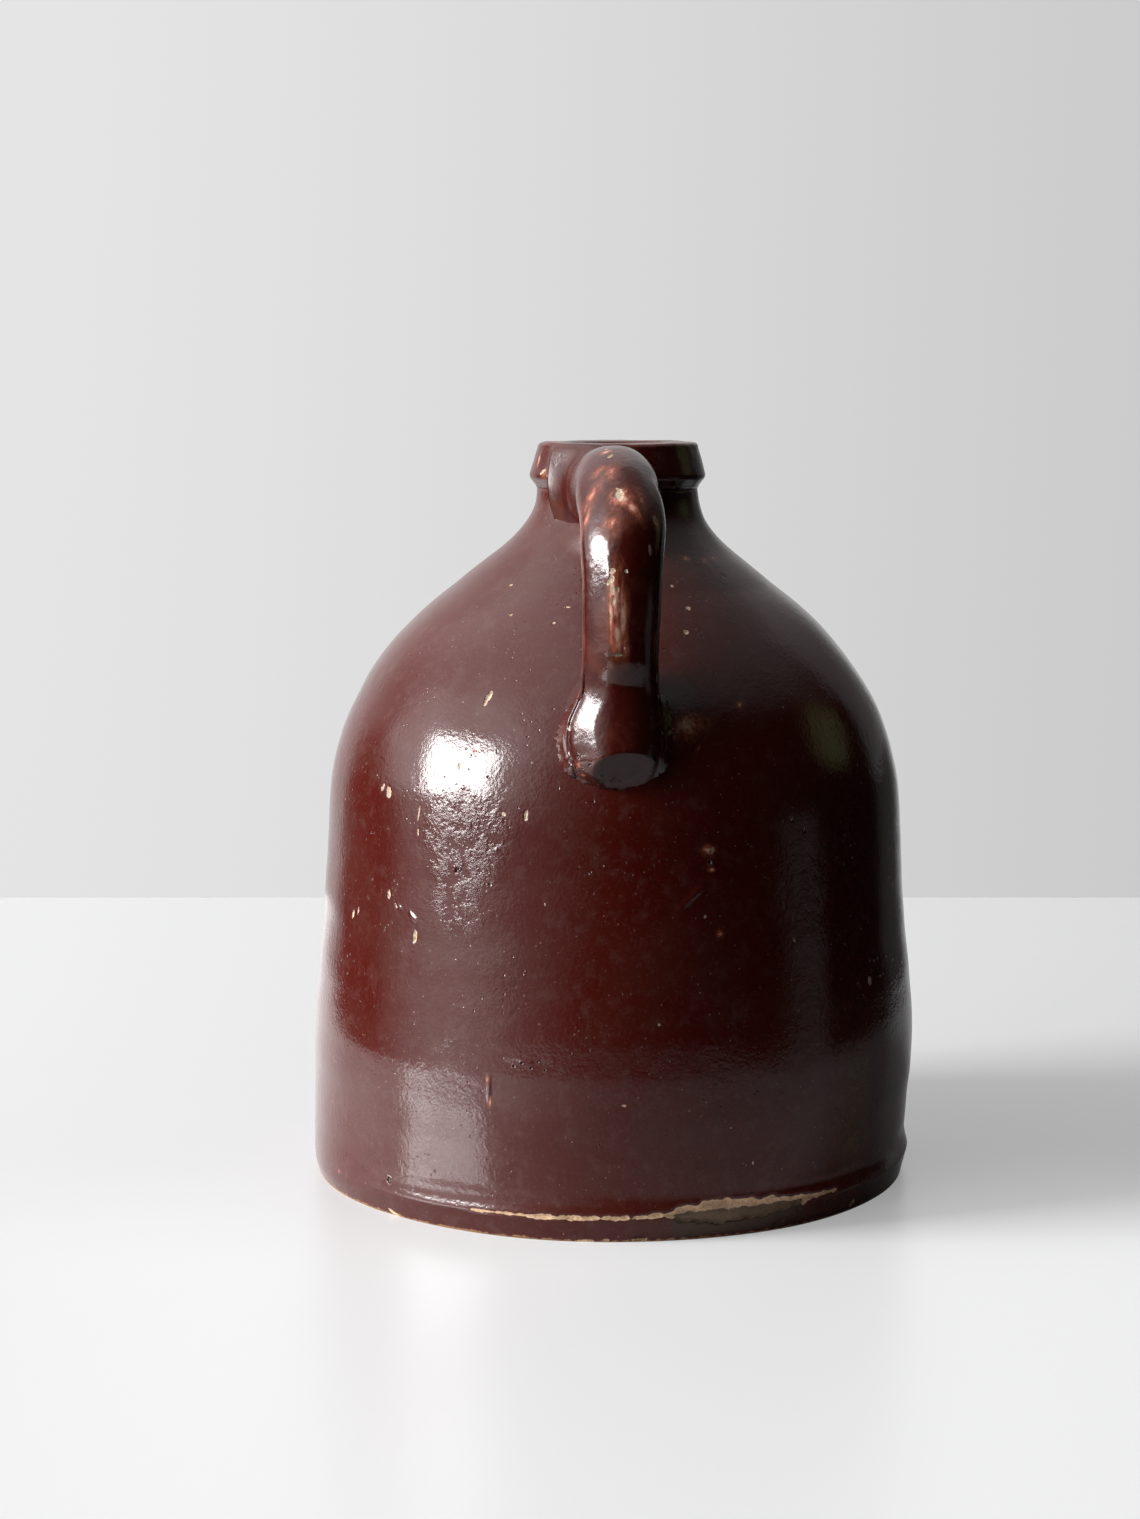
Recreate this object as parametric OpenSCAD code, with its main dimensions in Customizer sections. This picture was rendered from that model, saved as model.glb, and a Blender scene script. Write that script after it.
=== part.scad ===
// Stoneware jug: a thrown vessel with a floor, a slightly tapering wall, a domed shoulder
// and a short neck, a wedge-shaped collar luted round its mouth, and one pulled loop
// handle that runs from the neck to the shoulder, with a pad of soft clay at each end.
// The origin is the middle of the underside, +Z is up, and the handle is on the -Y side.

/* [Body] */
// Radius of the underside, inside the trimmed foot bevel
foot_r = 93.2; // [88:0.1:95]
// Height of the trimmed foot bevel
bevel_h = 7.5; // [5:0.5:10]
// Radius of the arris between the foot bevel and the wall
arris_r = 95.4; // [95:0.1:98]
// Radius of the slight waist just above the arris
waist_r = 94.1; // [91:0.1:95]
// Height of the waist above the underside
waist_z = 15; // [13:0.5:20]
// Radius of the belly, the fullest part of the wall
belly_r = 94.8; // [92:0.1:98]
// Height of the belly above the underside
belly_z = 44; // [36:1:60]
// Radius of the wall where it turns into the shoulder
wall_top_r = 89.2; // [86:0.2:92]
// Height at which the wall turns into the shoulder
wall_h = 119; // [110:1:130]
// Lean of the wall there, inward per unit of height
wall_lean = 0.06; // [0.02:0.01:0.1]
// Height of the dome, from the wall to the turn into the neck
shoulder_h = 66.5; // [60:0.5:72]
// Radius at the turn from the dome into the neck
turn_r = 48.5; // [44:0.5:53]
// Slope at the turn, inward per unit of height
turn_slope = 1.1; // [0.9:0.05:1.3]
// Height of the neck's flare, from the turn to the collar
flare_h = 29.5; // [26:0.5:34]
// Thickness of the thrown wall
wall_t = 6.5; // [5.5:0.5:9]
// Thickness of the floor
floor_t = 10; // [8:0.5:13]
// Radius of the curve between the floor and the wall, inside
floor_fillet = 14; // [8:1:20]

/* [Mouth] */
// Radius of the neck under the collar
neck_r = 24.9; // [23.5:0.1:26]
// Radius of the neck's end, which the collar is wrapped round
spigot_r = 21; // [20:0.2:22]
// Radius of the straight throat that takes the stopper
throat_r = 15; // [13:0.5:16]
// Length of the throat, from the rim down
throat_len = 24; // [22:0.5:27]
// Radius of the rounded inner edge of the lip
lip_round = 2; // [1:0.25:2.5]
// Height of the collar
collar_h = 14; // [12:0.5:16]
// Radius of the collar at its widest
collar_r = 27.3; // [26.8:0.1:29]
// Height of the bevel under the collar's widest edge
collar_bevel_h = 3; // [2:0.25:4]
// Height of the blunt edge above that bevel
collar_edge_h = 1; // [0.5:0.25:2]
// Radius of the collar at the rim
collar_top_r = 24.9; // [24:0.1:26]
// Radius of the rounded outer edge of the rim
rim_round = 1.5; // [0.75:0.25:2]

/* [Handle] */
// Width of the handle's root on the neck
root_w = 33; // [30:0.5:38]
// Thickness of the root
root_t = 26; // [23:0.5:28]
// Width of the handle over the top of the arch
arch_w = 22.8; // [21:0.2:25]
// Thickness of the handle over the arch
arch_t = 21; // [18:0.5:23]
// Width of the handle at the bend, where it is spread by the bending
bend_w = 25.4; // [23:0.2:27]
// Width of the handle in the straight drop
drop_w = 22.8; // [21:0.2:25]
// Thickness of the handle in the straight drop
drop_t = 18.6; // [16:0.2:20]
// Width of the flared lower end
end_w = 30; // [27:0.5:33]
// Thickness of the flared lower end
end_t = 20; // [18:0.5:22]
// Distance from the top of the arch up to the level of the rim
arch_below_rim = 0.4; // [0:0.1:3]
// Distance that the bend from the arch into the drop reaches outward
bend_reach = 31; // [26:0.5:34]
// Distance that the same bend comes down
bend_fall = 29; // [24:0.5:32]
// Distance from the wall's top radius in to the handle's centre line
drop_inset = 4.2; // [3:0.2:7]
// Height of the handle's lowest point above the top of the wall
end_rise = 13; // [10:0.5:18]
// Length of the rounded tip at the lower end
tip_len = 10; // [7:0.5:12]
// Distance by which the centre line leans in at the lower end
end_lean = 1.5; // [0.5:0.25:4]
// Distance by which the root's centre sits below the arch's centre
root_sag = 4.5; // [2:0.5:6]

/* [Clay pads] */
// Width of the clay worked in under the lower end
low_pad_w = 40; // [36:0.5:46]
// Length of the lower pad along the wall
low_pad_len = 44; // [38:1:48]
// Depth that the lower pad's middle stands off the wall
low_pad_t = 5; // [4:0.25:7]
// Width of the clay worked in under the root
top_pad_w = 28; // [24:0.5:30]
// Length of the upper pad along the flare of the neck
top_pad_len = 26; // [22:1:30]
// Depth that the upper pad's middle stands off the flare
top_pad_t = 5.5; // [4:0.25:7]

/* [Hidden] */
$fn = 96;

// How far the curves of the outline pull before they bend, as shares of their stretch
belly_pull_share = 0.15;
wall_pull_share = 0.55;
dome_start_pull_share = 0.61;
dome_end_pull_share = 0.12;
flare_start_pull_share = 0.62;
flare_end_pull_share = 0.53;
inner_flare_pull_share = 0.45;
waist_pull_share = 0.6;
curve_steps = 12;
arc_steps = 6;

// How far the handle's centre line pulls before it bends, as shares of its stretch
circle_pull_share = 0.5523;
root_pull_share = 0.34;
arch_pull_share = 0.4;
drop_pull_share = 0.32;
lean_pull_share = 0.3;
line_steps = 16;
tip_steps = 5;
ring_sides = 32;
blunt_share = 0.12;
// Places of the handle's sections, counted in stretches of its centre line: root to arch,
// arch to drop, drop to end
narrowing_share = 0.5;
bend_share = 0.6;
drop_waist_share = 0.3;
flare_share = 0.82;
root_narrowing_share = 0.3;
root_depth_share = 0.25;
end_narrow_share = 0.9;
nudge_share = 0.02;
// Places of the two pads, as shares of the dome and of the flare, counted from below
low_pad_share = 0.3;
top_pad_share = 0.6;
// Depth of a pad's middle under the skin, as a share of how far it stands off
pad_sink_share = 0.5;

turn_z = wall_h + shoulder_h;
neck_z = turn_z + flare_h;
jug_h = neck_z + collar_h;
arch_z = jug_h - arch_below_rim - arch_t / 2;
drop_r = wall_top_r - drop_inset;
end_z = wall_h + end_rise + tip_len;
pad_rings = 12;

function unit(v) = v / norm(v);
function bezier(a, b, c, d, t) =
    pow(1 - t, 3) * a + 3 * t * pow(1 - t, 2) * b + 3 * t * t * (1 - t) * c + pow(t, 3) * d;
function curve_at(ends, t) = bezier(ends[0], ends[1], ends[2], ends[3], t);
function curve_points(ends) = [for (i = [1:curve_steps]) curve_at(ends, i / curve_steps)];
function curve_dir(ends, t) = unit(curve_at(ends, t + nudge_share) - curve_at(ends, t - nudge_share));
function arc_points(centre, r, from, to) =
    [for (i = [0:arc_steps]) centre + r * [cos(from + (to - from) * i / arc_steps),
                                           sin(from + (to - from) * i / arc_steps)]];

// The outline of the thrown wall, as [radius, height], from the foot up to the collar
wall_dir = unit([-wall_lean, 1]);
turn_dir = unit([-turn_slope, 1]);
arris_point = [arris_r, bevel_h];
waist_point = [waist_r, waist_z];
belly_point = [belly_r, belly_z];
wall_top_point = [wall_top_r, wall_h];
turn_point = [turn_r, turn_z];
neck_point = [neck_r, neck_z];
arris_ends = [
    arris_point,
    arris_point + waist_pull_share * [waist_r - arris_r, (waist_z - bevel_h) / 2],
    waist_point - [0, waist_pull_share * (waist_z - bevel_h) / 2],
    waist_point];
low_ends = [
    waist_point,
    waist_point + [0, waist_pull_share * (belly_z - waist_z)],
    belly_point - [0, waist_pull_share * (belly_z - waist_z)],
    belly_point];
wall_ends = [
    belly_point,
    belly_point + [0, belly_pull_share * (wall_h - belly_z)],
    wall_top_point - wall_pull_share * (wall_h - belly_z) * wall_dir,
    wall_top_point];
dome_ends = [
    wall_top_point,
    wall_top_point + dome_start_pull_share * shoulder_h * wall_dir,
    turn_point - dome_end_pull_share * shoulder_h * turn_dir,
    turn_point];
flare_ends = [
    turn_point,
    turn_point + flare_start_pull_share * flare_h * turn_dir,
    neck_point - [0, flare_end_pull_share * flare_h],
    neck_point];
upper_line = concat(curve_points(wall_ends), curve_points(dome_ends));
outer_line = concat([[foot_r, 0], arris_point], curve_points(arris_ends), curve_points(low_ends),
                    upper_line, curve_points(flare_ends));

// The same wall inside, a wall's thickness in from the outline
shell_line = concat([belly_point], upper_line);
function shell_normal(i) =
    let (n = len(shell_line) - 1,
         d = unit(shell_line[min(i + 1, n)] - shell_line[max(i - 1, 0)]))
    [d[1], -d[0]];
inner_shell = [for (i = [0:len(shell_line) - 1]) shell_line[i] - wall_t * shell_normal(i)];
inner_turn = inner_shell[len(inner_shell) - 1];
throat_point = [throat_r, jug_h - throat_len];
inner_flare = curve_points([
    inner_turn,
    inner_turn + inner_flare_pull_share * (throat_point[1] - inner_turn[1]) * turn_dir,
    throat_point - [0, inner_flare_pull_share * (throat_point[1] - inner_turn[1])],
    throat_point]);
inner_foot = arc_points([waist_r - wall_t - floor_fillet, floor_t + floor_fillet],
                        floor_fillet, -90, 0);
lip_arc = arc_points([throat_r + lip_round, jug_h - lip_round], lip_round, 180, 90);
body_outline = concat([[0, 0]], outer_line, [[spigot_r, neck_z], [spigot_r, jug_h]],
                      [for (i = [arc_steps:-1:0]) lip_arc[i]],
                      [for (i = [len(inner_flare) - 1:-1:0]) inner_flare[i]],
                      [for (i = [len(inner_shell) - 2:-1:0]) inner_shell[i]],
                      [for (i = [arc_steps:-1:0]) inner_foot[i]],
                      [[0, floor_t]]);

module body() {
    color("#4a1d18") rotate_extrude() polygon(body_outline);
}

// The collar's section: a bevel below, a blunt widest edge, and a side that leans in to the rim
collar_edge_z = neck_z + collar_bevel_h;
rim_arc = arc_points([collar_top_r - rim_round, jug_h - rim_round], rim_round, 0, 90);
collar_side = concat([neck_point, [collar_r, collar_edge_z],
                      [collar_r, collar_edge_z + collar_edge_h]], rim_arc);

module mouth_collar() {
    color("#431a17") rotate_extrude() polygon(concat([[spigot_r, neck_z]], collar_side,
                                                     [[spigot_r, jug_h]]));
}

// Everything inside the jug's outer skin, which the handle and its pads are fitted against
module jug_outside() {
    rotate_extrude() polygon(concat([[0, 0]], outer_line, collar_side, [[0, jug_h]]));
}

// The handle's centre line, as [distance from the axis, height]
root_point = [neck_r * (1 - root_depth_share), arch_z - root_sag];
arch_point = [drop_r - bend_reach, arch_z];
drop_point = [drop_r, arch_z - bend_fall];
end_point = [drop_r - end_lean, end_z];
root_run = arch_point[0] - root_point[0];
drop_run = drop_point[1] - end_z;
function line_at(u) =
    u < 1 ? bezier(root_point, root_point + [root_pull_share * root_run, 0],
                   arch_point - [arch_pull_share * root_run, 0], arch_point, u)
    : u < 2 ? bezier(arch_point, arch_point + [circle_pull_share * bend_reach, 0],
                     drop_point + [0, circle_pull_share * bend_fall], drop_point, u - 1)
    : bezier(drop_point, drop_point - [0, drop_pull_share * drop_run],
             end_point + [end_lean * lean_pull_share, lean_pull_share * drop_run], end_point, u - 2);
function line_dir(u) =
    let (a = line_at(max(u - nudge_share, 0)), b = line_at(min(u + nudge_share, 3))) unit(b - a);

// Half width and half thickness of the handle at stations along the centre line
section_stations = [
    [0, [root_w, root_t] / 2],
    [narrowing_share, [arch_w + root_narrowing_share * (root_w - arch_w),
                       arch_t + root_narrowing_share * (root_t - arch_t)] / 2],
    [1, [arch_w, arch_t] / 2],
    [1 + bend_share, [bend_w, (arch_t + drop_t) / 2] / 2],
    [2 + drop_waist_share, [drop_w, drop_t] / 2],
    [2 + flare_share, [end_w, end_t] / 2],
    [3, [end_w * end_narrow_share, end_t] / 2]];
function ease(t) = t * t * (3 - 2 * t);
function station_below(u) = max([for (i = [0:len(section_stations) - 2])
                                     if (section_stations[i][0] <= u) i]);
function section_at(u) =
    let (i = station_below(u), a = section_stations[i], b = section_stations[i + 1],
         t = ease((u - a[0]) / (b[0] - a[0])))
    a[1] * (1 - t) + b[1] * t;

// One ring of the handle: an oval square to the centre line
function oval_ring(centre, dir, half) =
    [for (k = [0:ring_sides - 1])
        let (a = 360 * k / ring_sides, across = half[0] * cos(a), off = half[1] * sin(a),
             p = centre + off * [-dir[1], dir[0]])
        [across, -p[0], p[1]]];
handle_rings = concat(
    [for (i = [0:3 * line_steps])
        let (u = i / line_steps) oval_ring(line_at(u), line_dir(u), section_at(u))],
    [for (i = [1:tip_steps])
        let (a = 90 * i / tip_steps, dir = line_dir(3), close = max(cos(a), blunt_share))
        oval_ring(end_point + tip_len * sin(a) * dir, dir, section_at(3) * close)]);

// A closed skin over a list of rings, all with the same number of points
module skin(rings, sides) {
    last = len(rings) - 1;
    faces = concat(
        [[for (k = [0:sides - 1]) k]],
        [for (i = [0:last - 1], k = [0:sides - 1])
            let (m = (k + 1) % sides)
            each [[i * sides + k, (i + 1) * sides + k, (i + 1) * sides + m],
                  [i * sides + k, (i + 1) * sides + m, i * sides + m]]],
        [[for (k = [sides - 1:-1:0]) last * sides + k]]);
    polyhedron(points = [for (ring = rings) each ring], faces = faces, convexity = 6);
}

module handle_rod() {
    skin(handle_rings, ring_sides);
}

module handle() {
    color("#6b2a1c") difference() {
        handle_rod();
        jug_outside();
    }
}

// A lens of clay laid on the jug's outline, as far along a curve of it as the share says. Its
// middle lies under the skin, so that its edge thins out
module clay_lens(ends, share, width, length, depth) {
    dir = -curve_dir(ends, share);
    out = [-dir[1], dir[0]];
    skin([for (i = [0:pad_rings])
             let (a = -90 + 180 * i / pad_rings, close = max(cos(a), blunt_share))
             oval_ring(curve_at(ends, share) - pad_sink_share * depth * out
                           + length / 2 * sin(a) * dir,
                       dir, [width / 2, (1 + pad_sink_share) * depth] * close)],
         ring_sides);
}

module upper_luting_clay() {
    color("#471c17") difference() {
        clay_lens(flare_ends, top_pad_share, top_pad_w, top_pad_len, top_pad_t);
        handle_rod();
        jug_outside();
    }
}

module lower_luting_clay() {
    color("#471c17") difference() {
        clay_lens(dome_ends, low_pad_share, low_pad_w, low_pad_len, low_pad_t);
        handle_rod();
        jug_outside();
    }
}

body();
mouth_collar();
handle();
upper_luting_clay();
lower_luting_clay();
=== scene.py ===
import math
import bmesh
import bpy
from bisect import bisect_right
from mathutils import Matrix, Quaternion, Vector, noise
from mathutils.bvhtree import BVHTree
from mathutils.kdtree import KDTree


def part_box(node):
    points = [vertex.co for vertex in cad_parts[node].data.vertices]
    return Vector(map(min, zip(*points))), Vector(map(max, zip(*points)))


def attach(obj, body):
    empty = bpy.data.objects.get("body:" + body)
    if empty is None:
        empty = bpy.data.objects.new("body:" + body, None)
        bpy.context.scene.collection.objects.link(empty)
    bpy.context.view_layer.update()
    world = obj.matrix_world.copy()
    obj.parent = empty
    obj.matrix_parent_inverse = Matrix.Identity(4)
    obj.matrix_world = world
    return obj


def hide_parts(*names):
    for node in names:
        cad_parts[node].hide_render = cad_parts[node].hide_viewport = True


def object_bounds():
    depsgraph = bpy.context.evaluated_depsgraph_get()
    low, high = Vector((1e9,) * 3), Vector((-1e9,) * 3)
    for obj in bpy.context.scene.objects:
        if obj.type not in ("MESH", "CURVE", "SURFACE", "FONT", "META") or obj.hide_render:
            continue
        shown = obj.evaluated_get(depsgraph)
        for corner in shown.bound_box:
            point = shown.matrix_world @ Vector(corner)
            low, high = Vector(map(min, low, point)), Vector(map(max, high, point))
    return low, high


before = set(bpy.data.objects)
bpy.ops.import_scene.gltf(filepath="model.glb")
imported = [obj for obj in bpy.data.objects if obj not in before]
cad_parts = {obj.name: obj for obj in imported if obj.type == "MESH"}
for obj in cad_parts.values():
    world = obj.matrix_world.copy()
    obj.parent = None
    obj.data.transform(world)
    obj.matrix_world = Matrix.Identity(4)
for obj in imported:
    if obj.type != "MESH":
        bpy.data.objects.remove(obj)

# A glazed stoneware jug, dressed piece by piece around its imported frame.
# Lengths are in metres, and a row of a list gives them in mm. Turns round the jug are in degrees
# from the handle, which faces -Y, towards +X.

mm = 0.001
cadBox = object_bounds()
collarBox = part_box("mouth_collar")


# Small helpers for points and curves

def roundTheJug(angle, radius, height):
    a = math.radians(angle)
    return Vector((radius * math.sin(a), -radius * math.cos(a), height))


def angleOf(point):
    return math.degrees(math.atan2(point.x, -point.y))


def smoothStep(low, high, value):
    t = min(max((value - low) / (high - low), 0), 1)
    return t * t * (3 - 2 * t)


def bezierPoint(ends, t):
    a, b, c, d = ends
    return a * (1 - t) ** 3 + b * (3 * t * (1 - t) ** 2) + c * (3 * t * t * (1 - t)) + d * t ** 3


def bezierRun(ends, step):
    # points along a curve after its first, about a step apart
    rough = [bezierPoint(ends, i / 40) for i in range(41)]
    length = sum((q - p).length for p, q in zip(rough, rough[1:]))
    count = max(2, round(length / step))
    return [bezierPoint(ends, i / count) for i in range(1, count + 1)]


def straightRun(a, b, step):
    count = max(1, round((b - a).length / step))
    return [a.lerp(b, i / count) for i in range(1, count + 1)]


def valueAlong(stops, place):
    # eases between the values of a list of (place, value)
    for (p, u), (q, v) in zip(stops, stops[1:]):
        if place <= q:
            return u + (v - u) * smoothStep(p, q, place)
    return stops[-1][1]


def wobble(point, size, seed=0.0):
    # smooth noise about 0, with lumps of a size
    return noise.noise(point / size + Vector((seed, seed * 0.7, seed * 1.3)))


def finishMesh(bm, name, material):
    mesh = bpy.data.meshes.new(name)
    bmesh.ops.recalc_face_normals(bm, faces=bm.faces)
    for face in bm.faces:
        face.smooth = True
    bm.to_mesh(mesh)
    bm.free()
    piece = bpy.data.objects.new(name, mesh)
    bpy.context.scene.collection.objects.link(piece)
    mesh.materials.append(material)
    return piece


# Shader maths: a wire is a socket that can be used in sums

def mathOf(operation, swapped=False):
    def result(wire, other):
        first, second = (other, wire) if swapped else (wire, other)
        return wire.network.node("ShaderNodeMath", {"operation": operation}, {0: first, 1: second})
    return result


class Wire:
    def __init__(self, network, socket):
        self.network = network
        self.socket = socket

    __add__ = __radd__ = mathOf("ADD")
    __mul__ = __rmul__ = mathOf("MULTIPLY")
    __sub__ = mathOf("SUBTRACT")
    __rsub__ = mathOf("SUBTRACT", swapped=True)
    __truediv__ = mathOf("DIVIDE")


class Network:
    def __init__(self, tree, coordinates):
        self.tree = tree
        self.place = self.node("ShaderNodeTexCoord", {}, {}, coordinates)

    def node(self, kind, settings, sockets, output=0):
        made = self.tree.nodes.new(kind)
        for key, value in settings.items():
            setattr(made, key, value)
        for key, value in sockets.items():
            self.feed(made.inputs[key], value)
        return Wire(self, made.outputs[output])

    def feed(self, socket, value):
        if isinstance(value, Wire):
            self.tree.links.new(value.socket, socket)
        elif isinstance(value, tuple) and len(value) == 3 and socket.type == "RGBA":
            socket.default_value = (*value, 1)
        else:
            socket.default_value = value

    def noise(self, size, detail=4, roughness=0.55, place=None):
        return self.node("ShaderNodeTexNoise", {}, {"Vector": place or self.place, "Scale": 1 / size,
                                                    "Detail": detail, "Roughness": roughness})

    def dots(self, size, outer, inner):
        # scattered dots about a size apart: 1 within the inner share of that size, 0 past the outer
        sockets = {"Vector": self.place, "Scale": 1 / size}
        return self.between(self.node("ShaderNodeTexVoronoi", {}, sockets, "Distance"), outer, inner)

    def between(self, wire, low, high):
        # 0 below low, 1 above high, eased
        return self.node("ShaderNodeMapRange", {"interpolation_type": "SMOOTHSTEP"},
                         {"Value": wire, "From Min": low, "From Max": high})

    def blendColours(self, share, first, second):
        return self.node("ShaderNodeMix", {"data_type": "RGBA"}, {0: share, 6: first, 7: second}, 2)

    def grey(self, level):
        return self.node("ShaderNodeCombineXYZ", {}, {0: level, 1: level, 2: level})

    def attribute(self, name):
        return self.node("ShaderNodeAttribute", {"attribute_name": name}, {}, "Fac")

    def stretched(self, heightScale):
        return self.node("ShaderNodeMapping", {}, {"Vector": self.place, "Scale": (1, 1, heightScale)})

    def axes(self):
        split = self.node("ShaderNodeSeparateXYZ", {}, {0: self.place}).socket.node
        return [Wire(self, output) for output in split.outputs]

    def offFrom(self, middle):
        return self.node("ShaderNodeVectorMath", {"operation": "DISTANCE"},
                         {0: self.place, 1: tuple(middle)}, "Value")

    def ray(self, kind):
        return self.node("ShaderNodeLightPath", {}, {}, "Is " + kind + " Ray")

    def along(self, direction):
        # how much of the place lies along a direction
        return self.node("ShaderNodeVectorMath", {"operation": "DOT_PRODUCT"},
                         {0: self.place, 1: tuple(direction)}, "Value")


class Finish(Network):
    def __init__(self, name):
        self.material = bpy.data.materials.new(name)
        self.material.use_nodes = True
        super().__init__(self.material.node_tree, "Object")
        self.shader = self.tree.nodes["Principled BSDF"]

    def set(self, **values):
        for key, value in values.items():
            self.feed(self.shader.inputs[key.replace("_", " ")], value)


# Camera

cameraLook = {
    "place": Vector((-13.7, -920.4, 252.9)) * mm,
    "downward": 7.67,  # degrees
    "lens": 69.65,
    "sensor": 36.0,
}

photoFrame = {"width": 1140, "height": 1519}


def makeCamera(look):
    data = bpy.data.cameras.new("camera")
    data.lens = look["lens"]
    data.sensor_width = look["sensor"]
    camera = bpy.data.objects.new("camera", data)
    camera.location = look["place"]
    camera.rotation_euler = (math.radians(90 - look["downward"]), 0, 0)
    bpy.context.scene.collection.objects.link(camera)
    bpy.context.scene.camera = camera


def sightLine(x, y):
    # direction from the camera through a pixel of the photograph
    focal = cameraLook["lens"] / cameraLook["sensor"] * photoFrame["height"]
    across = (x - photoFrame["width"] / 2) / focal
    upward = (photoFrame["height"] / 2 - y) / focal
    tilt = Matrix.Rotation(math.radians(90 - cameraLook["downward"]), 3, "X")
    return (tilt @ Vector((across, upward, -1))).normalized()


makeCamera(cameraLook)
print("camera set")


# Marks: chips, pits, ridges and thin glaze, each on the piece where the photograph shows it.
# A row is (across, down, half width, half height, lean, depth). The first two are a pixel of the
# photograph, or a turn in degrees and a height in mm where the photograph doesn't reach. The sizes
# and the depth are in mm, the lean is clockwise in degrees, and the last two may be left out.
# A kind's rounds are how often the mesh is halved round it, and its reach is a share of its size.

markKinds = {
    "chips": {"layer": "bare", "rounds": 2, "reach": 2.2},
    "pits": {"layer": "sooty", "rounds": 3, "reach": 1.6},
    "ridges": {"rounds": 2, "reach": 1.5},
    "thinSpots": {"layer": "thin", "rounds": 1, "reach": 2.2},
    "blushes": {"layer": "thin", "rounds": 1, "reach": 2.2, "strength": 0.76},  # not worn through
}

markShape = {
    "ragged": 0.3, "raggedSize": 0.6,  # of the edge, both as shares of the mark's size
    "fine": 0.15, "fineSize": 0.25,
    "chipSteepness": 1.6,
    "pitRing": 0.85, "pitRingWidth": 0.2, "pitRingRise": 0.3,
    "pitFloor": 0.3, "pitWall": 0.65,
}

wearLayers = ("bare", "thin", "sooty")


class Mark:
    def __init__(self, kind, place, normal, row):
        wide, high, lean, depth = (*row, 0, 0)[:4]
        level = Vector((0, 0, 1)).cross(normal).normalized()
        upward = normal.cross(level)
        a = math.radians(lean)
        self.kind = kind
        self.place = place
        self.normal = normal
        self.wideAxis = (level * math.cos(a) - upward * math.sin(a)) / (wide * mm)
        self.longAxis = (upward * math.cos(a) + level * math.sin(a)) / (high * mm)
        self.depth = depth * mm
        self.size = max(wide, high) * mm
        self.reach = self.size * markKinds[kind]["reach"]

    def share(self, point):
        # 0 in the middle, 1 at the mark's ragged edge
        s = markShape
        off = point - self.place
        edge = 1 + s["ragged"] * noise.noise(point / (s["raggedSize"] * self.size))
        edge += s["fine"] * noise.noise(point / (s["fineSize"] * self.size))
        return math.hypot(off.dot(self.wideAxis), off.dot(self.longAxis)) / edge

    def push(self, share):
        # how far the surface moves outwards
        s = markShape
        if self.kind == "chips":
            return -self.depth * min(1, max(0, 1 - share ** 3) * s["chipSteepness"])
        if self.kind == "pits":
            ring = math.exp(-((share - s["pitRing"]) / s["pitRingWidth"]) ** 2)
            hole = 1 - smoothStep(s["pitFloor"], s["pitWall"], share)
            return self.depth * (s["pitRingRise"] * ring - hole)
        if self.kind == "ridges":
            return self.depth * max(0, 1 - share * share) ** 2
        return -self.depth * max(0, 1 - share * share)


def findMarks(bm, kinds, seen=True):
    # along the camera's line of sight, or from outside towards the axis for those that it doesn't see
    tree = BVHTree.FromBMesh(bm)
    found = []
    for kind, rows in kinds.items():
        for a, b, *row in rows:
            if seen:
                place, normal, _, _ = tree.ray_cast(cameraLook["place"], sightLine(a, b))
            else:
                place, normal, _, _ = tree.ray_cast(roundTheJug(a, 0.3, b * mm), roundTheJug(a, -1, 0))
            if place:
                found.append(Mark(kind, place, normal, row))
            else:
                print("no place for", kind, a, b)
    return found


def vertexTree(verts):
    tree = KDTree(len(verts))
    for i, v in enumerate(verts):
        tree.insert(v.co, i)
    tree.balance()
    return tree


def refineNear(bm, marks):
    for level in range(max(kind["rounds"] for kind in markKinds.values())):
        verts = list(bm.verts)
        tree = vertexTree(verts)
        edges = set()
        for mark in marks:
            if markKinds[mark.kind]["rounds"] > level:
                for _, i, _ in tree.find_range(mark.place, mark.reach * 0.8 + 0.4 * mm / (1 + level)):
                    edges.update(verts[i].link_edges)
        bmesh.ops.subdivide_edges(bm, edges=list(edges), cuts=1, use_grid_fill=True)


def cutMarks(bm, marks):
    layers = {name: bm.verts.layers.float[name] for name in wearLayers}
    verts = list(bm.verts)
    tree = vertexTree(verts)
    for mark in marks:
        layer = layers.get(markKinds[mark.kind].get("layer"))
        strength = markKinds[mark.kind].get("strength", 1)
        for _, i, _ in tree.find_range(mark.place, mark.reach):
            v = verts[i]
            share = mark.share(v.co)
            v.co += mark.normal * mark.push(share)
            if layer:
                v[layer] = max(v[layer], strength * (1 - share / 2))


def startMesh():
    bm = bmesh.new()
    for name in wearLayers:
        bm.verts.layers.float.new(name)
    return bm


# The vessel, on the same outline as its solid

bodyShape = {
    "footRadius": 93.2 * mm,
    "arrisRadius": 95.2 * mm,
    "arrisHeight": 7.5 * mm,
    "waistRadius": 94.1 * mm,
    "waistHeight": 15 * mm,
    "bellyRadius": 94.7 * mm,
    "bellyHeight": 44 * mm,
    "wallTopRadius": 89.2 * mm,
    "wallHeight": 119 * mm,
    "turnRadius": 48.5 * mm,
    "turnHeight": 185.5 * mm,
    "neckRadius": 24.9 * mm,
    "neckHeight": 215 * mm,
    "throatRadius": 15 * mm,
    "wall": 6.5 * mm,
    "floor": 10 * mm,
    "frontHalf": 86,  # degrees each side of the handle that are finely stepped
    "frontSteps": 180,
    "backSteps": 110,
    "footStep": 0.6 * mm,
    "wallStep": 1.45 * mm,
    "insideStep": 6 * mm,
    "insideCorner": 14 * mm,
    "topInsideCollar": 217 * mm,
    "arrisFrom": 3.5 * mm,  # the heights between which the front of the foot is stepped twice as finely
    "arrisTo": 13 * mm,
    "arrisHalf": 60,
}


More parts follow.
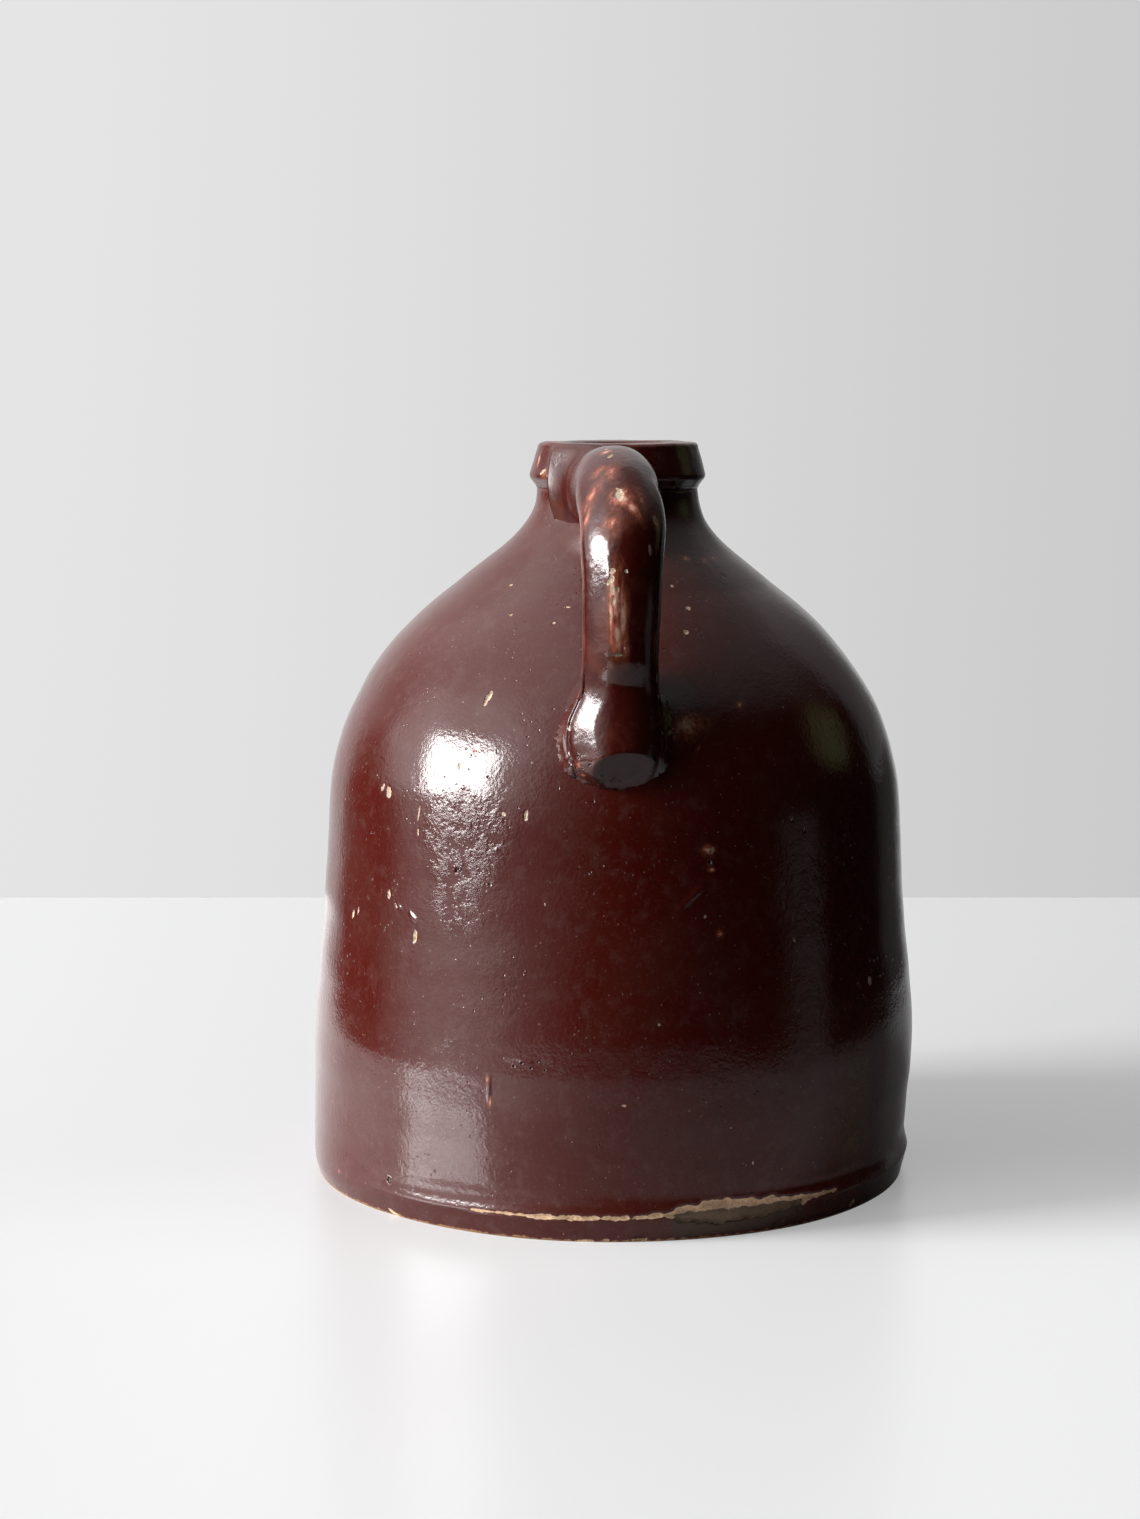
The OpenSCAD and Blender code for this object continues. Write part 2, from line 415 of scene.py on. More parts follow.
def flat(radius, height):
    return Vector((radius, 0, height))


def outerOutline(s):
    # from the edge of the underside, up the outside to the collar: (radius, 0, height)
    foot = flat(s["footRadius"], 0)
    arris = flat(s["arrisRadius"], s["arrisHeight"])
    waist = flat(s["waistRadius"], s["waistHeight"])
    belly = flat(s["bellyRadius"], s["bellyHeight"])
    wallTop = flat(s["wallTopRadius"], s["wallHeight"])
    turn = flat(s["turnRadius"], s["turnHeight"])
    neck = flat(s["neckRadius"], s["neckHeight"])
    wallLean = flat(-0.06, 1).normalized()
    turnLean = flat(-1.1, 1).normalized()
    up = flat(0, 1)
    rise = (waist - arris).z
    lowRun = (belly - waist).z
    wallRun = (wallTop - belly).z
    domeRun = (turn - wallTop).z
    flareRun = (neck - turn).z
    curves = [
        (arris, arris + flat(-0.6 * (arris - waist).x, 0.3 * rise), waist - up * 0.3 * rise, waist),
        (waist, waist + up * 0.6 * lowRun, belly - up * 0.6 * lowRun, belly),
        (belly, belly + up * 0.15 * wallRun, wallTop - wallLean * 0.55 * wallRun, wallTop),
        (wallTop, wallTop + wallLean * 0.61 * domeRun, turn - turnLean * 0.12 * domeRun, turn),
        (turn, turn + turnLean * 0.62 * flareRun, neck - up * 0.53 * flareRun, neck),
    ]
    line = [foot] + straightRun(foot, arris, s["footStep"])
    for curve in curves:
        line += bezierRun(curve, s["footStep"] if curve[0] is arris else s["wallStep"])
    return line


def innerOutline(s, outer):
    # down the throat and the inside of the wall to the middle of the floor
    top = flat(s["throatRadius"], s["topInsideCollar"])
    shell = [p for p in outer if s["bellyHeight"] <= p.z <= s["turnHeight"]][::4]
    inside = []
    for before, point, after in zip(shell, shell[1:], shell[2:]):
        along = (after - before).normalized()
        inside.append(point - flat(along.z, -along.x) * s["wall"])
    throatEnd = flat(s["throatRadius"], s["neckHeight"] - 10 * mm)
    shoulder = inside[-1]
    slope = (inside[-1] - inside[-2]).normalized()
    run = throatEnd.z - shoulder.z
    flare = bezierRun((shoulder, shoulder + slope * 0.5 * run,
                       throatEnd - flat(0, 0.45 * run), throatEnd), s["insideStep"])
    corner = s["insideCorner"]
    innerRadius = s["waistRadius"] - s["wall"]
    wallFoot = flat(innerRadius, s["floor"] + corner)
    floorEdge = flat(innerRadius - corner, s["floor"])
    bend = bezierRun((wallFoot, wallFoot - flat(0, 0.55 * corner),
                      floorEdge + flat(0.55 * corner, 0), floorEdge), s["insideStep"])
    return [top] + flare[::-1] + inside[::-1] + [wallFoot] + bend + [flat(0, s["floor"])]


outerLine = outerOutline(bodyShape)
outerHeights = [p.z for p in outerLine]


def skinRadius(height):
    # radius of the vessel's even outline at a height
    i = min(max(bisect_right(outerHeights, height), 1), len(outerLine) - 1)
    low, high = outerLine[i - 1], outerLine[i]
    return low.x + (high.x - low.x) * (height - low.z) / (high.z - low.z)


# The thrown skin is uneven: rings from the fingers, broad lumps, and a foot and neck out of true

bodySkin = {
    "ringDepth": 0.13 * mm,
    "ringSpacing": 8 * mm,
    "ringTilt": 0.6 * mm,
    "lumpDepth": 0.38 * mm,
    "lumpSize": 48 * mm,
    "lumpSink": 0.3,  # share of the depth by which all lumps lie lower
    "dimpleDepth": 0.06 * mm,
    "dimpleSize": 13 * mm,
    "peelDepth": 0.02 * mm,
    "peelSize": 3.4 * mm,
    "lean": 0.8 * mm,  # of the neck, to +X
    "leanFrom": 184 * mm,
    "leanTo": 210 * mm,
    "outermost": 95.35 * mm,  # from the axis, where no part of the skin gets to
    "softLimit": 0.5 * mm,  # the last stretch towards it, which the skin nears slowly
    # turn, height, half of each, and how far it stands out
    "bulges": [
        (82, 8, 55, 28, -1.0), (-85, 18, 55, 17, 1.2), (-85, 4, 55, 15, 1.3), (-85, 36, 45, 14, 0.5),
        (84, 58, 34, 34, 0.7), (0, 176, 400, 18, 0.7), (84, 112, 34, 40, 0.7),
        (48, 12.8, 52, 4.2, -0.45), (-26, 10.2, 30, 3.2, -0.26), (84, 150, 40, 20, 0.6),
        (-85, 162, 45, 12, 0.6), (0, 203, 400, 9, 0.8), (-80, 197, 60, 11, 0.6), (84, 211, 60, 8, 0.6),
        (70, 198, 60, 10, 0.5), (-82, 80, 25, 10, -0.5), (150, 100, 40, 30, -0.5),
        (215, 60, 45, 25, -0.6)],
}


def skinPush(point):
    # how far the skin stands out of the even outline
    s = bodySkin
    angle = angleOf(point)
    a = math.radians(angle)
    ringHeight = (point.z + s["ringTilt"] * math.sin(a + 1)) / s["ringSpacing"]
    push = s["ringDepth"] * noise.noise(Vector((math.cos(a), math.sin(a), ringHeight)))
    push += s["lumpDepth"] * (wobble(point, s["lumpSize"]) - s["lumpSink"])
    push += s["dimpleDepth"] * wobble(point, s["dimpleSize"], 7)
    push += s["peelDepth"] * wobble(point, s["peelSize"], 3)
    for turn, height, halfTurn, halfRise, out in s["bulges"]:
        off = (angle - turn + 180) % 360 - 180
        share = (off / halfTurn) ** 2 + ((point.z / mm - height) / halfRise) ** 2
        if share < 1:
            push += out * mm * (1 - share) ** 2
    return push


def unevenSkin(point, push=None):
    # where a point of the even outline really lies
    if push is None:
        push = skinPush(point)
    radius = math.hypot(point.x, point.y)
    soft = bodySkin["softLimit"]
    over = radius + push - (bodySkin["outermost"] - soft)
    out = radius + push if over < 0 else bodySkin["outermost"] - soft * math.exp(-over / soft)
    lean = bodySkin["lean"] * smoothStep(bodySkin["leanFrom"], bodySkin["leanTo"], point.z)
    return Vector((point.x * out / radius + lean, point.y * out / radius, point.z))


# The broken edge above the foot, a band of bare clay that is dirty where it is wide

brokenEdge = {
    # turn, and the band's lowest and highest height
    "band": [
        (-28, 7.5, 7.5), (-24, 7.1, 7.9), (-10, 6.7, 8.1), (0, 7.0, 8.2), (4, 7.4, 8.2), (8, 7.4, 9.0),
        (13, 5.8, 10.4), (18, 4.6, 11.6), (26, 5.0, 10.9), (33, 6.4, 10.0), (38, 7.7, 9.4),
        (43, 8.1, 8.8), (47, 8.4, 8.4), (96, 7.6, 7.6), (104, 7.0, 8.2), (116, 6.8, 8.0),
        (121, 7.5, 7.5), (205, 7.5, 7.5), (212, 6.2, 8.6), (222, 7.0, 8.0), (226, 7.5, 7.5),
        (332, 7.5, 7.5)],
    "within": (1, 13),  # mm of height that the band stays in
    "steepness": 0.6,  # of its edge, per mm
    "depth": 0.25,  # mm, and the share of the width that is added
    "depthByWidth": 0.22,
    "widestForDepth": 3.4,
    "dirtyFrom": 1.4,  # mm of width
    "dirtyTo": 3,
    "arris": 7.6,  # mm of height where the glaze runs thin, and over how far
    "arrisReach": 0.5,
    "arrisThin": 0.28,
    "arrisThinVaries": 0.22,
}


def breakEdge(bm, s):
    layers = bm.verts.layers.float
    bare, thin, sooty = layers["bare"], layers["thin"], layers["sooty"]
    lows = [(turn, low) for turn, low, _ in s["band"]]
    highs = [(turn, high) for turn, _, high in s["band"]]
    firstTurn = s["band"][0][0]
    bottom, top = s["within"]
    for v in bm.verts:
        height = v.co.z / mm
        if not bottom < height < top or math.hypot(v.co.x, v.co.y) < bodyShape["footRadius"] - 1 * mm:
            continue
        turn = (angleOf(v.co) - firstTurn) % 360 + firstTurn
        low, high = valueAlong(lows, turn), valueAlong(highs, turn)
        width = high - low
        if width > 0.1:
            ragged = 0.5 * wobble(v.co, 1.6 * mm) + 0.3 * wobble(v.co, 4 * mm)
            ragged += 0.7 * wobble(v.co, 2.4 * mm, 4) * min(width / 3, 1)
            inside = min(high - height, height - low) + ragged
            v[bare] = min(max(0.5 + s["steepness"] * inside, 0), 1)
            upper = (height + 0.8 * wobble(v.co, 2.5 * mm, 8) - low) / width
            dirt = smoothStep(s["dirtyFrom"], s["dirtyTo"], width) * (1 - smoothStep(0.5, 0.85, upper))
            v[sooty] = max(v[sooty], dirt * (1 + 0.25 * wobble(v.co, 5 * mm, 12)))
            depth = s["depth"] + s["depthByWidth"] * min(width, s["widestForDepth"])
            sunk = smoothStep(-0.2, 0.5, inside) * depth * mm / bodyShape["arrisRadius"]
            v.co.x *= 1 - sunk
            v.co.y *= 1 - sunk
        edge = math.exp(-((height - s["arris"]) / s["arrisReach"]) ** 2)
        v[thin] = max(v[thin], edge * (s["arrisThin"] + s["arrisThinVaries"] * wobble(v.co, 6 * mm)))


bodyMarks = {
    "chips": [
        (488, 698, 0.75, 2.4, 14, 0.4), (383, 787, 0.6, 1.5, 18, 0.3), (389, 792, 0.9, 1.7, -18, 0.4),
        (526, 815, 0.55, 1.6, 5, 0.3), (503, 814, 0.8, 0.45, 0, 0.25), (419, 812, 0.25, 2.6, 6, 0.15),
        (418, 832, 0.3, 1.2, -8, 0.15), (389, 894, 0.55, 1.3, -12, 0.3), (396, 906, 0.3, 1, -40, 0.2),
        (353, 914, 0.6, 1.4, 15, 0.3), (358, 911, 0.35, 1.1, 12, 0.2), (415, 937, 0.75, 2, 6, 0.4),
        (712, 851, 0.6, 1, 20, 0.3), (705, 917, 0.45, 0.45, 0, 0.2), (792, 819, 0.7, 0.35, -20, 0.2),
        (804, 830, 0.3, 0.7, 15, 0.2), (822, 819, 0.4, 0.4, 0, 0.2), (794, 940, 0.4, 0.8, -30, 0.2),
        (783, 707, 0.35, 0.35, 0, 0.15), (870, 981, 1, 1.3, 0, 0.3), (659, 1025, 0.45, 0.35, 0, 0.2),
        (624, 1106, 0.7, 0.4, 10, 0.2), (731, 1128, 0.4, 0.3, 0, 0.2), (753, 1163, 0.35, 0.6, 0, 0.2),
        (672, 586, 0.5, 0.5, 0, 0.1), (688, 608, 0.95, 0.75, 0, 0.12), (686, 632, 0.85, 0.8, 0, 0.1),
        (723, 575, 0.7, 0.9, -30, 0.08), (511, 585, 0.5, 0.5, 0, 0.12), (511, 615, 0.45, 0.5, 0, 0.12),
        (554, 623, 0.5, 0.5, 0, 0.12), (568, 607, 0.7, 0.3, 0, 0.15), (640, 1238, 2.3, 1.05, 0, 0.6),
        (606, 1240, 1, 0.5, 0, 0.3), (585, 1241, 2.6, 0.4, 0, 0.2), (394, 1213, 2.6, 0.6, 24, 0.3),
        (779, 1222, 2.4, 1, -20, 0.3), (812, 1211, 1.6, 0.7, -30, 0.3), (800, 1208, 1.2, 1.6, 0, 0.2),
        (852, 1203, 1.6, 0.8, -40, 0.3), (560, 1185, 0.3, 0.3, 0, 0.1), (459, 766, 0.35, 1, 10, 0.2),
        (466, 850, 0.3, 0.3, 0, 0.1), (545, 905, 0.3, 0.5, 0, 0.15)],
    "pits": [
        (457, 870, 1.3, 1.3, 0, 0.5), (710, 862, 0.8, 0.9, 0, 0.6), (389, 1180, 1.2, 1.5, -20, 0.4),
        (514, 1066, 0.7, 0.6, 0, 0.3), (522, 1063, 0.7, 0.7, 0, 0.35), (531, 1068, 0.6, 0.6, 0, 0.3),
        (538, 1062, 0.5, 0.5, 0, 0.3), (545, 1070, 0.6, 0.5, 0, 0.3), (435, 1171, 0.7, 0.4, 0, 0.25),
        (488, 777, 0.7, 0.6, 0, 0.25), (437, 803, 0.8, 0.5, 0, 0.2), (490, 884, 1.1, 0.9, 20, 0.2),
        (479, 840, 1.2, 0.7, 10, 0.25), (450, 843, 0.9, 0.5, -10, 0.15), (559, 788, 0.5, 0.7, 20, 0.2),
        (466, 905, 0.6, 0.5, 0, 0.15), (443, 812, 0.7, 0.4, 0, 0.2), (497, 752, 0.5, 0.8, 0, 0.12)],
    "ridges": [
        (489, 1090, 0.75, 5.2, 5, 0.35), (413, 917, 1, 3, -50, 0.35), (400, 908, 0.6, 2.2, -60, 0.25),
        (368, 898, 0.5, 2.2, -45, 0.25), (371, 978, 0.3, 4.4, -12, 0.15), (470, 820, 2.4, 1, 0, 0.2),
        (496, 850, 1.6, 0.8, 12, 0.25), (443, 826, 2, 0.7, -8, 0.2), (463, 787, 1.6, 0.7, 0, 0.2),
        (693, 896, 1.8, 8, 48, 0.22), (520, 1062, 5.5, 1, 4, 0.25)],
    "thinSpots": [
        (477, 749, 0.8, 1.1, 0, 0.1), (339, 1171, 0.7, 0.7), (487, 1080, 0.45, 2),
        (490, 1102, 0.45, 1.6), (708, 850, 2.2, 1.6, 10), (711, 870, 1.3, 0.8), (720, 934, 1.4, 1.3),
        (345, 800, 0.5, 0.5), (740, 705, 1.5, 1.5), (686, 558, 2, 1.7), (704, 561, 1.8, 1.6),
        (713, 558, 1.8, 1.7), (685, 725, 7, 4.2, -10)],
}

# marks on the side that the photograph doesn't show: turn and height, then as above
backMarks = {
    "chips": [
        (112, 31, 0.8, 0.6, 0, 0.3), (131, 88, 0.5, 1.4, 12, 0.3), (139, 92, 0.4, 0.8, -20, 0.2),
        (158, 54, 1, 1.1, 0, 0.4), (171, 122, 0.6, 0.5, 0, 0.2), (186, 76, 0.5, 1.9, -8, 0.3),
        (197, 140, 0.7, 0.5, 10, 0.3), (204, 28, 0.5, 0.5, 0, 0.2), (216, 100, 0.4, 1.1, 24, 0.25),
        (228, 64, 0.9, 0.7, 0, 0.35), (241, 118, 0.5, 0.6, 0, 0.2), (252, 43, 0.4, 1.3, 16, 0.2),
        (146, 160, 0.5, 0.4, 0, 0.2), (238, 166, 0.6, 0.6, 0, 0.2), (104, 132, 0.6, 1, 30, 0.25)],
    "pits": [
        (121, 60, 1.1, 1.1, 0, 0.4), (166, 97, 0.9, 0.9, 0, 0.35), (193, 38, 1.2, 1, 0, 0.4),
        (221, 132, 0.8, 0.8, 0, 0.3), (247, 84, 1, 1.2, 0, 0.35)],
    "ridges": [
        (178, 62, 0.6, 4.2, 7, 0.3), (208, 118, 3.4, 0.7, 6, 0.25), (128, 112, 0.7, 5, 40, 0.3)],
}


def spinRound(bm, line, s):
    # one fine spin over the front, one coarser spin round the back
    start = [bm.verts.new(roundTheJug(-s["frontHalf"], p.x, p.z)) for p in line]
    edges = [bm.edges.new(pair) for pair in zip(start, start[1:])]
    around = {"axis": (0, 0, 1), "cent": (0, 0, 0), "use_merge": False}
    front = bmesh.ops.spin(bm, geom=start + edges, angle=math.radians(2 * s["frontHalf"]),
                           steps=s["frontSteps"], **around)
    bmesh.ops.spin(bm, geom=front["geom_last"], angle=math.radians(360 - 2 * s["frontHalf"]),
                   steps=s["backSteps"], **around)
    bmesh.ops.remove_doubles(bm, verts=bm.verts, dist=0.02 * mm)
    bmesh.ops.recalc_face_normals(bm, faces=bm.faces)


def refineArris(bm, s):
    # twice as many steps where the foot's edge is broken
    edges = []
    for e in bm.edges:
        a, b = e.verts
        level = abs(a.co.z - b.co.z) < 0.01 * mm and s["arrisFrom"] < a.co.z < s["arrisTo"]
        outside = math.hypot(a.co.x, a.co.y) > s["footRadius"] - 1 * mm
        if level and outside and abs(angleOf(a.co)) < s["arrisHalf"]:
            edges.append(e)
    bmesh.ops.subdivide_edges(bm, edges=edges, cuts=1, use_grid_fill=True)


def pushSkin(bm):
    # the outside becomes uneven, and the neck leans with its throat
    for v in bm.verts:
        radius = math.hypot(v.co.x, v.co.y)
        onSkin = radius > skinRadius(v.co.z) - 0.8 * mm and radius > 1 * mm
        if radius > 0:
            v.co = unevenSkin(v.co, None if onSkin else 0)


def makeBody(s, material):
    bm = startMesh()
    underside = [flat(0, 0)] + straightRun(flat(0, 0), outerLine[0], 9 * mm)[:-1]
    hidden = s["neckRadius"] - 1 * mm
    rim = [flat(hidden, s["neckHeight"]), flat(hidden, s["topInsideCollar"])]
    spinRound(bm, underside + outerLine + rim + innerOutline(s, outerLine), s)
    refineArris(bm, s)
    trial = bm.copy()
    pushSkin(trial)
    marks = findMarks(trial, bodyMarks) + findMarks(trial, backMarks, seen=False)
    trial.free()
    for mark in marks:
        # back on the even skin, where the mesh still is
        mark.place -= unevenSkin(mark.place) - mark.place
    refineNear(bm, marks)
    pushSkin(bm)
    for mark in marks:
        mark.place = unevenSkin(mark.place)
    cutMarks(bm, marks)
    breakEdge(bm, brokenEdge)
    for v in bm.verts:
        v.co.z = max(v.co.z, 0)
    return finishMesh(bm, "thrownVessel", material)


# The collar

collarShape = {
    "edgeRadius": 27.3 * mm,
    "edgeHeight": 218 * mm,
    "bluntEdge": 1 * mm,
    "edgeSlack": 0.35 * mm,
    "rimRadius": 24.9 * mm,
    "rimRound": 1.6 * mm,
    "lipRound": 2 * mm,
    "step": 0.6 * mm,
    "wave": 0.28 * mm,
    "waveSize": 14 * mm,
    "ripple": 0.08 * mm,
    "rightOut": 0.7 * mm,  # the right side stands out more
    "thinReach": 0.9 * mm,  # of the thin glaze below the top
    "thin": 0.34,
    "thinVaries": 0.25,
}

collarMarks = {
    "chips": [
        (548, 441, 0.7, 0.45, 0, 0.3), (561, 442, 0.9, 0.35, 0, 0.25), (540, 471, 0.55, 1.7, 62, 0.35),
        (546, 474, 0.4, 0.8, 50, 0.25)],
    "blushes": [
        (542, 474, 1.9, 1.6)],
    "thinSpots": [
        (555, 442, 4, 0.8), (536, 460, 0.8, 2)],
}


def makeCollar(s, material):
    bm = startMesh()
    top = collarBox[1].z - 0.05 * mm
    neck = flat(bodyShape["neckRadius"], bodyShape["neckHeight"])
    throat = bodyShape["throatRadius"]
    edge = flat(s["edgeRadius"], s["edgeHeight"])
    edgeTop = edge + flat(0, s["bluntEdge"])
    rimSide = flat(s["rimRadius"], top - s["rimRound"])
    rimTop = flat(s["rimRadius"] - s["rimRound"], top)
    lipTop = flat(throat + s["lipRound"], top)
    lipSide = flat(throat, top - s["lipRound"])
    bottom = flat(throat, bodyShape["topInsideCollar"])
    inward, upward = flat(-0.55, 0), flat(0, 0.55)
    slack, step = s["edgeSlack"], s["step"]
    hidden = bodyShape["neckRadius"] - 2 * mm
    line = [flat(hidden, bodyShape["neckHeight"] + 0.3 * mm), neck - flat(0, 0.4 * mm)]
    line += straightRun(neck, edge - flat(slack, slack), step)
    line += bezierRun((edge - flat(slack, slack), edge, edgeTop,
                       edgeTop + flat(-slack * 0.5, slack)), step)
    line += straightRun(line[-1], rimSide, step)
    rimRound, lipRound = s["rimRound"], s["lipRound"]
    line += bezierRun((rimSide, rimSide + upward * rimRound, rimTop - inward * rimRound, rimTop), step)
    line += straightRun(rimTop, lipTop, step)
    line += bezierRun((lipTop, lipTop + inward * lipRound, lipSide + upward * lipRound, lipSide), step)
    line += straightRun(lipSide, bottom, step * 3)
    line += [flat(hidden, bodyShape["topInsideCollar"]), line[0]]
    spinRound(bm, line, bodyShape)
    marks = findMarks(bm, collarMarks)
    refineNear(bm, marks)
    thin = bm.verts.layers.float["thin"]
    for v in bm.verts:
        sunk = s["wave"] * (0.6 + wobble(v.co, s["waveSize"], 5)) + s["ripple"] * wobble(v.co, 3 * mm, 2)
        rimShare = smoothStep(s["edgeHeight"], top, v.co.z)
        edgeShare = math.exp(-((v.co.z - top) / s["thinReach"]) ** 2)
        v[thin] = max(v[thin], edgeShare * (s["thin"] + s["thinVaries"] * wobble(v.co, 7 * mm)))
        radius = math.hypot(v.co.x, v.co.y)
        rightShare = max(0, v.co.x / radius) ** 2
        v.co = unevenSkin(v.co, s["rightOut"] * rightShare - sunk if radius > throat + 3 * mm else 0)
        v.co.z -= sunk * rimShare
    cutMarks(bm, marks)
    return finishMesh(bm, "mouthCollar", material)


# Clay worked into the corners of the handle

upperClayShape = {
    "wide": 33 * mm,
    "long": 24 * mm,
    "thick": 4.2 * mm,
    "aside": -3 * mm,  # of its middle, towards +X
}

lowerClayShape = {
    "wide": 46 * mm,
    "long": 46 * mm,
    "thick": 3.6 * mm,
    "aside": 5 * mm,
}

clayLens = {
    "steps": 56,
    "reach": 1.06,  # of the lens, where 1 is where it runs out
    "lumps": 0.25 * mm,
    "lumpSize": 5 * mm,
    "sunk": 0.12 * mm,
    "hidden": 1.2 * mm,  # what lies within the vessel's wall
}

lowerClayMarks = {
    "thinSpots": [
        (685, 725, 7, 4.2, -10)],
    "blushes": [
        (664, 716, 1.6, 3), (674, 735, 4, 3), (700, 748, 1.4, 1.1)],
}


def skinAlong(start, run):
    # the outline's point a run of surface above a height, and its outward normal
    i = bisect_right(outerHeights, start)
    step = 1 if run > 0 else -1
    left = abs(run)
    while 0 < i + step < len(outerLine) - 1:
        length = (outerLine[i + step] - outerLine[i]).length
        if length >= left:
            break
        left -= length
        i += step
    a, b = outerLine[i], outerLine[i + step]
    slope = (b - a).normalized() * step
    return a.lerp(b, left / (b - a).length), flat(slope.z, -slope.x)


def makeClay(s, name, node, marks, material):
    # a lens of clay that runs out thin on the vessel's skin
    lens = clayLens
    low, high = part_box(node)
    middle = (low.z + high.z) / 2
    bm = startMesh()
    bmesh.ops.create_grid(bm, x_segments=lens["steps"], y_segments=lens["steps"], size=1)
    bmesh.ops.delete(bm, geom=[v for v in bm.verts if v.co.length > lens["reach"]], context="VERTS")
    for v in bm.verts:
        u, w = v.co.x, v.co.y
        swell = max(0, 1 - u * u - w * w) ** 2
        point, normal = skinAlong(middle, w * s["long"] / 2)
        turn = math.degrees((u * s["wide"] / 2 + s["aside"]) / point.x)
        base = unevenSkin(roundTheJug(turn, point.x, point.z))
        lumps = lens["lumps"] * wobble(base, lens["lumpSize"], 4)
        lift = (s["thick"] + lumps) * swell - lens["sunk"]
        v.co = base + roundTheJug(turn, normal.x, normal.z) * lift
    bmesh.ops.recalc_face_normals(bm, faces=bm.faces)
    bmesh.ops.solidify(bm, geom=list(bm.faces), thickness=lens["hidden"])
    if marks:
        found = findMarks(bm, marks)
        refineNear(bm, found)
        cutMarks(bm, found)
    return finishMesh(bm, name, material)


# The pulled handle

handleShape = {
    "root": Vector((0, -18.7, 214.1)) * mm,
    "arch": Vector((0, -49, 218.5)) * mm,
    "drop": Vector((0, -85, 186)) * mm,
    "end": Vector((0, -83.0, 142)) * mm,
    "tip": 9.5 * mm,  # how far its round end reaches past the line
    "tipRings": 15,
    "sides": 72,
    "step": 0.85 * mm,
    # a place along the line is 0 at the root, 1 at the arch, 2 at the start of the drop, 3 at the end
    "flareWide": 3.4 * mm,  # more width where the root meets the neck, and how far it leans aside
    "flareAside": -3.0 * mm,
    "flareTo": 0.31,
    # place and size
    "halfWidth": [(0, 13.6), (0.75, 12.6), (1, 12.0), (1.6, 12.3), (2, 11.3), (2.4, 10.9), (2.52, 11.1),
                  (2.8, 14.1), (2.9, 14.3), (3, 13.7)],
    "halfThick": [(0, 13), (0.5, 11.5), (1, 10.4), (1.6, 9.9), (2.1, 9.6), (2.5, 9.4), (3.2, 14.4)],
    "aside": [(0, -1.2), (1, -0.9), (1.3, 0), (1.65, 1.4), (2.2, 1.0), (2.55, 0.6), (2.82, -0.9),
              (3, -0.7)],
    "squareness": [(0, 2.2), (1, 2.1), (2, 2.1), (3, 2.3)],  # 2 is an ellipse
}

handleSculpt = {
    # radius in mm of the fillet round the root: 0 is +X, 90 the top, 180 the left side
    "rootFillets": [(0, 2.5), (60, 1.5), (85, 0.8), (118, 6), (150, 7), (190, 4), (220, 2.5), (270, 3.5),
                    (360, 2.5)],
    "rootSkin": 26 * mm,  # radius of the neck and collar together, as the fillet takes it
    "rootSkinFrom": 206 * mm,
    "rootSmoothing": 8,
    "thumbDepth": 1.25 * mm,  # the front of the end is pressed in below these heights
    "thumbFrom": 171 * mm,
    "thumbTo": 162 * mm,
    "endFilletLeft": 3.5 * mm,
    "endFilletRight": 3.0 * mm,
    "endFilletBelow": 2.2 * mm,
    "ridgeTurn": 104,  # degrees round the section: 0 is +X, 90 faces out
    "ridgeWidth": 13,
    "ridgeHeight": 0.55 * mm,
    "ridgeFrom": 171 * mm,
    "ridgeTo": 199 * mm,
    "flankTurn": 128,  # the flattened left of the front
    "flankDepth": 0.7 * mm,
    "flankShare": 0.5,
    "leftSlope": 0.35,  # how much the left of the end falls away in one slope
    "edgeTurn": 176,  # the left edge, where the glaze is thin
    "edgeWidth": 7,
    "edgeThin": 0.78,
    "facetPlace": Vector((3.0, -90.9, 138.6)) * mm,
    "facetNormal": Vector((0.12, -0.80, -0.58)),
    "facetShare": 0.92,  # of what stands past the facet, which is cut away
    "blobPlace": Vector((-12.5, -86, 139)) * mm,  # of the lumpy clay at the lower left
    "blobReach": 9 * mm,
    "blobDepth": 0.6 * mm,
    "waveDepth": 0.32 * mm,
    "waveSize": 12 * mm,
}

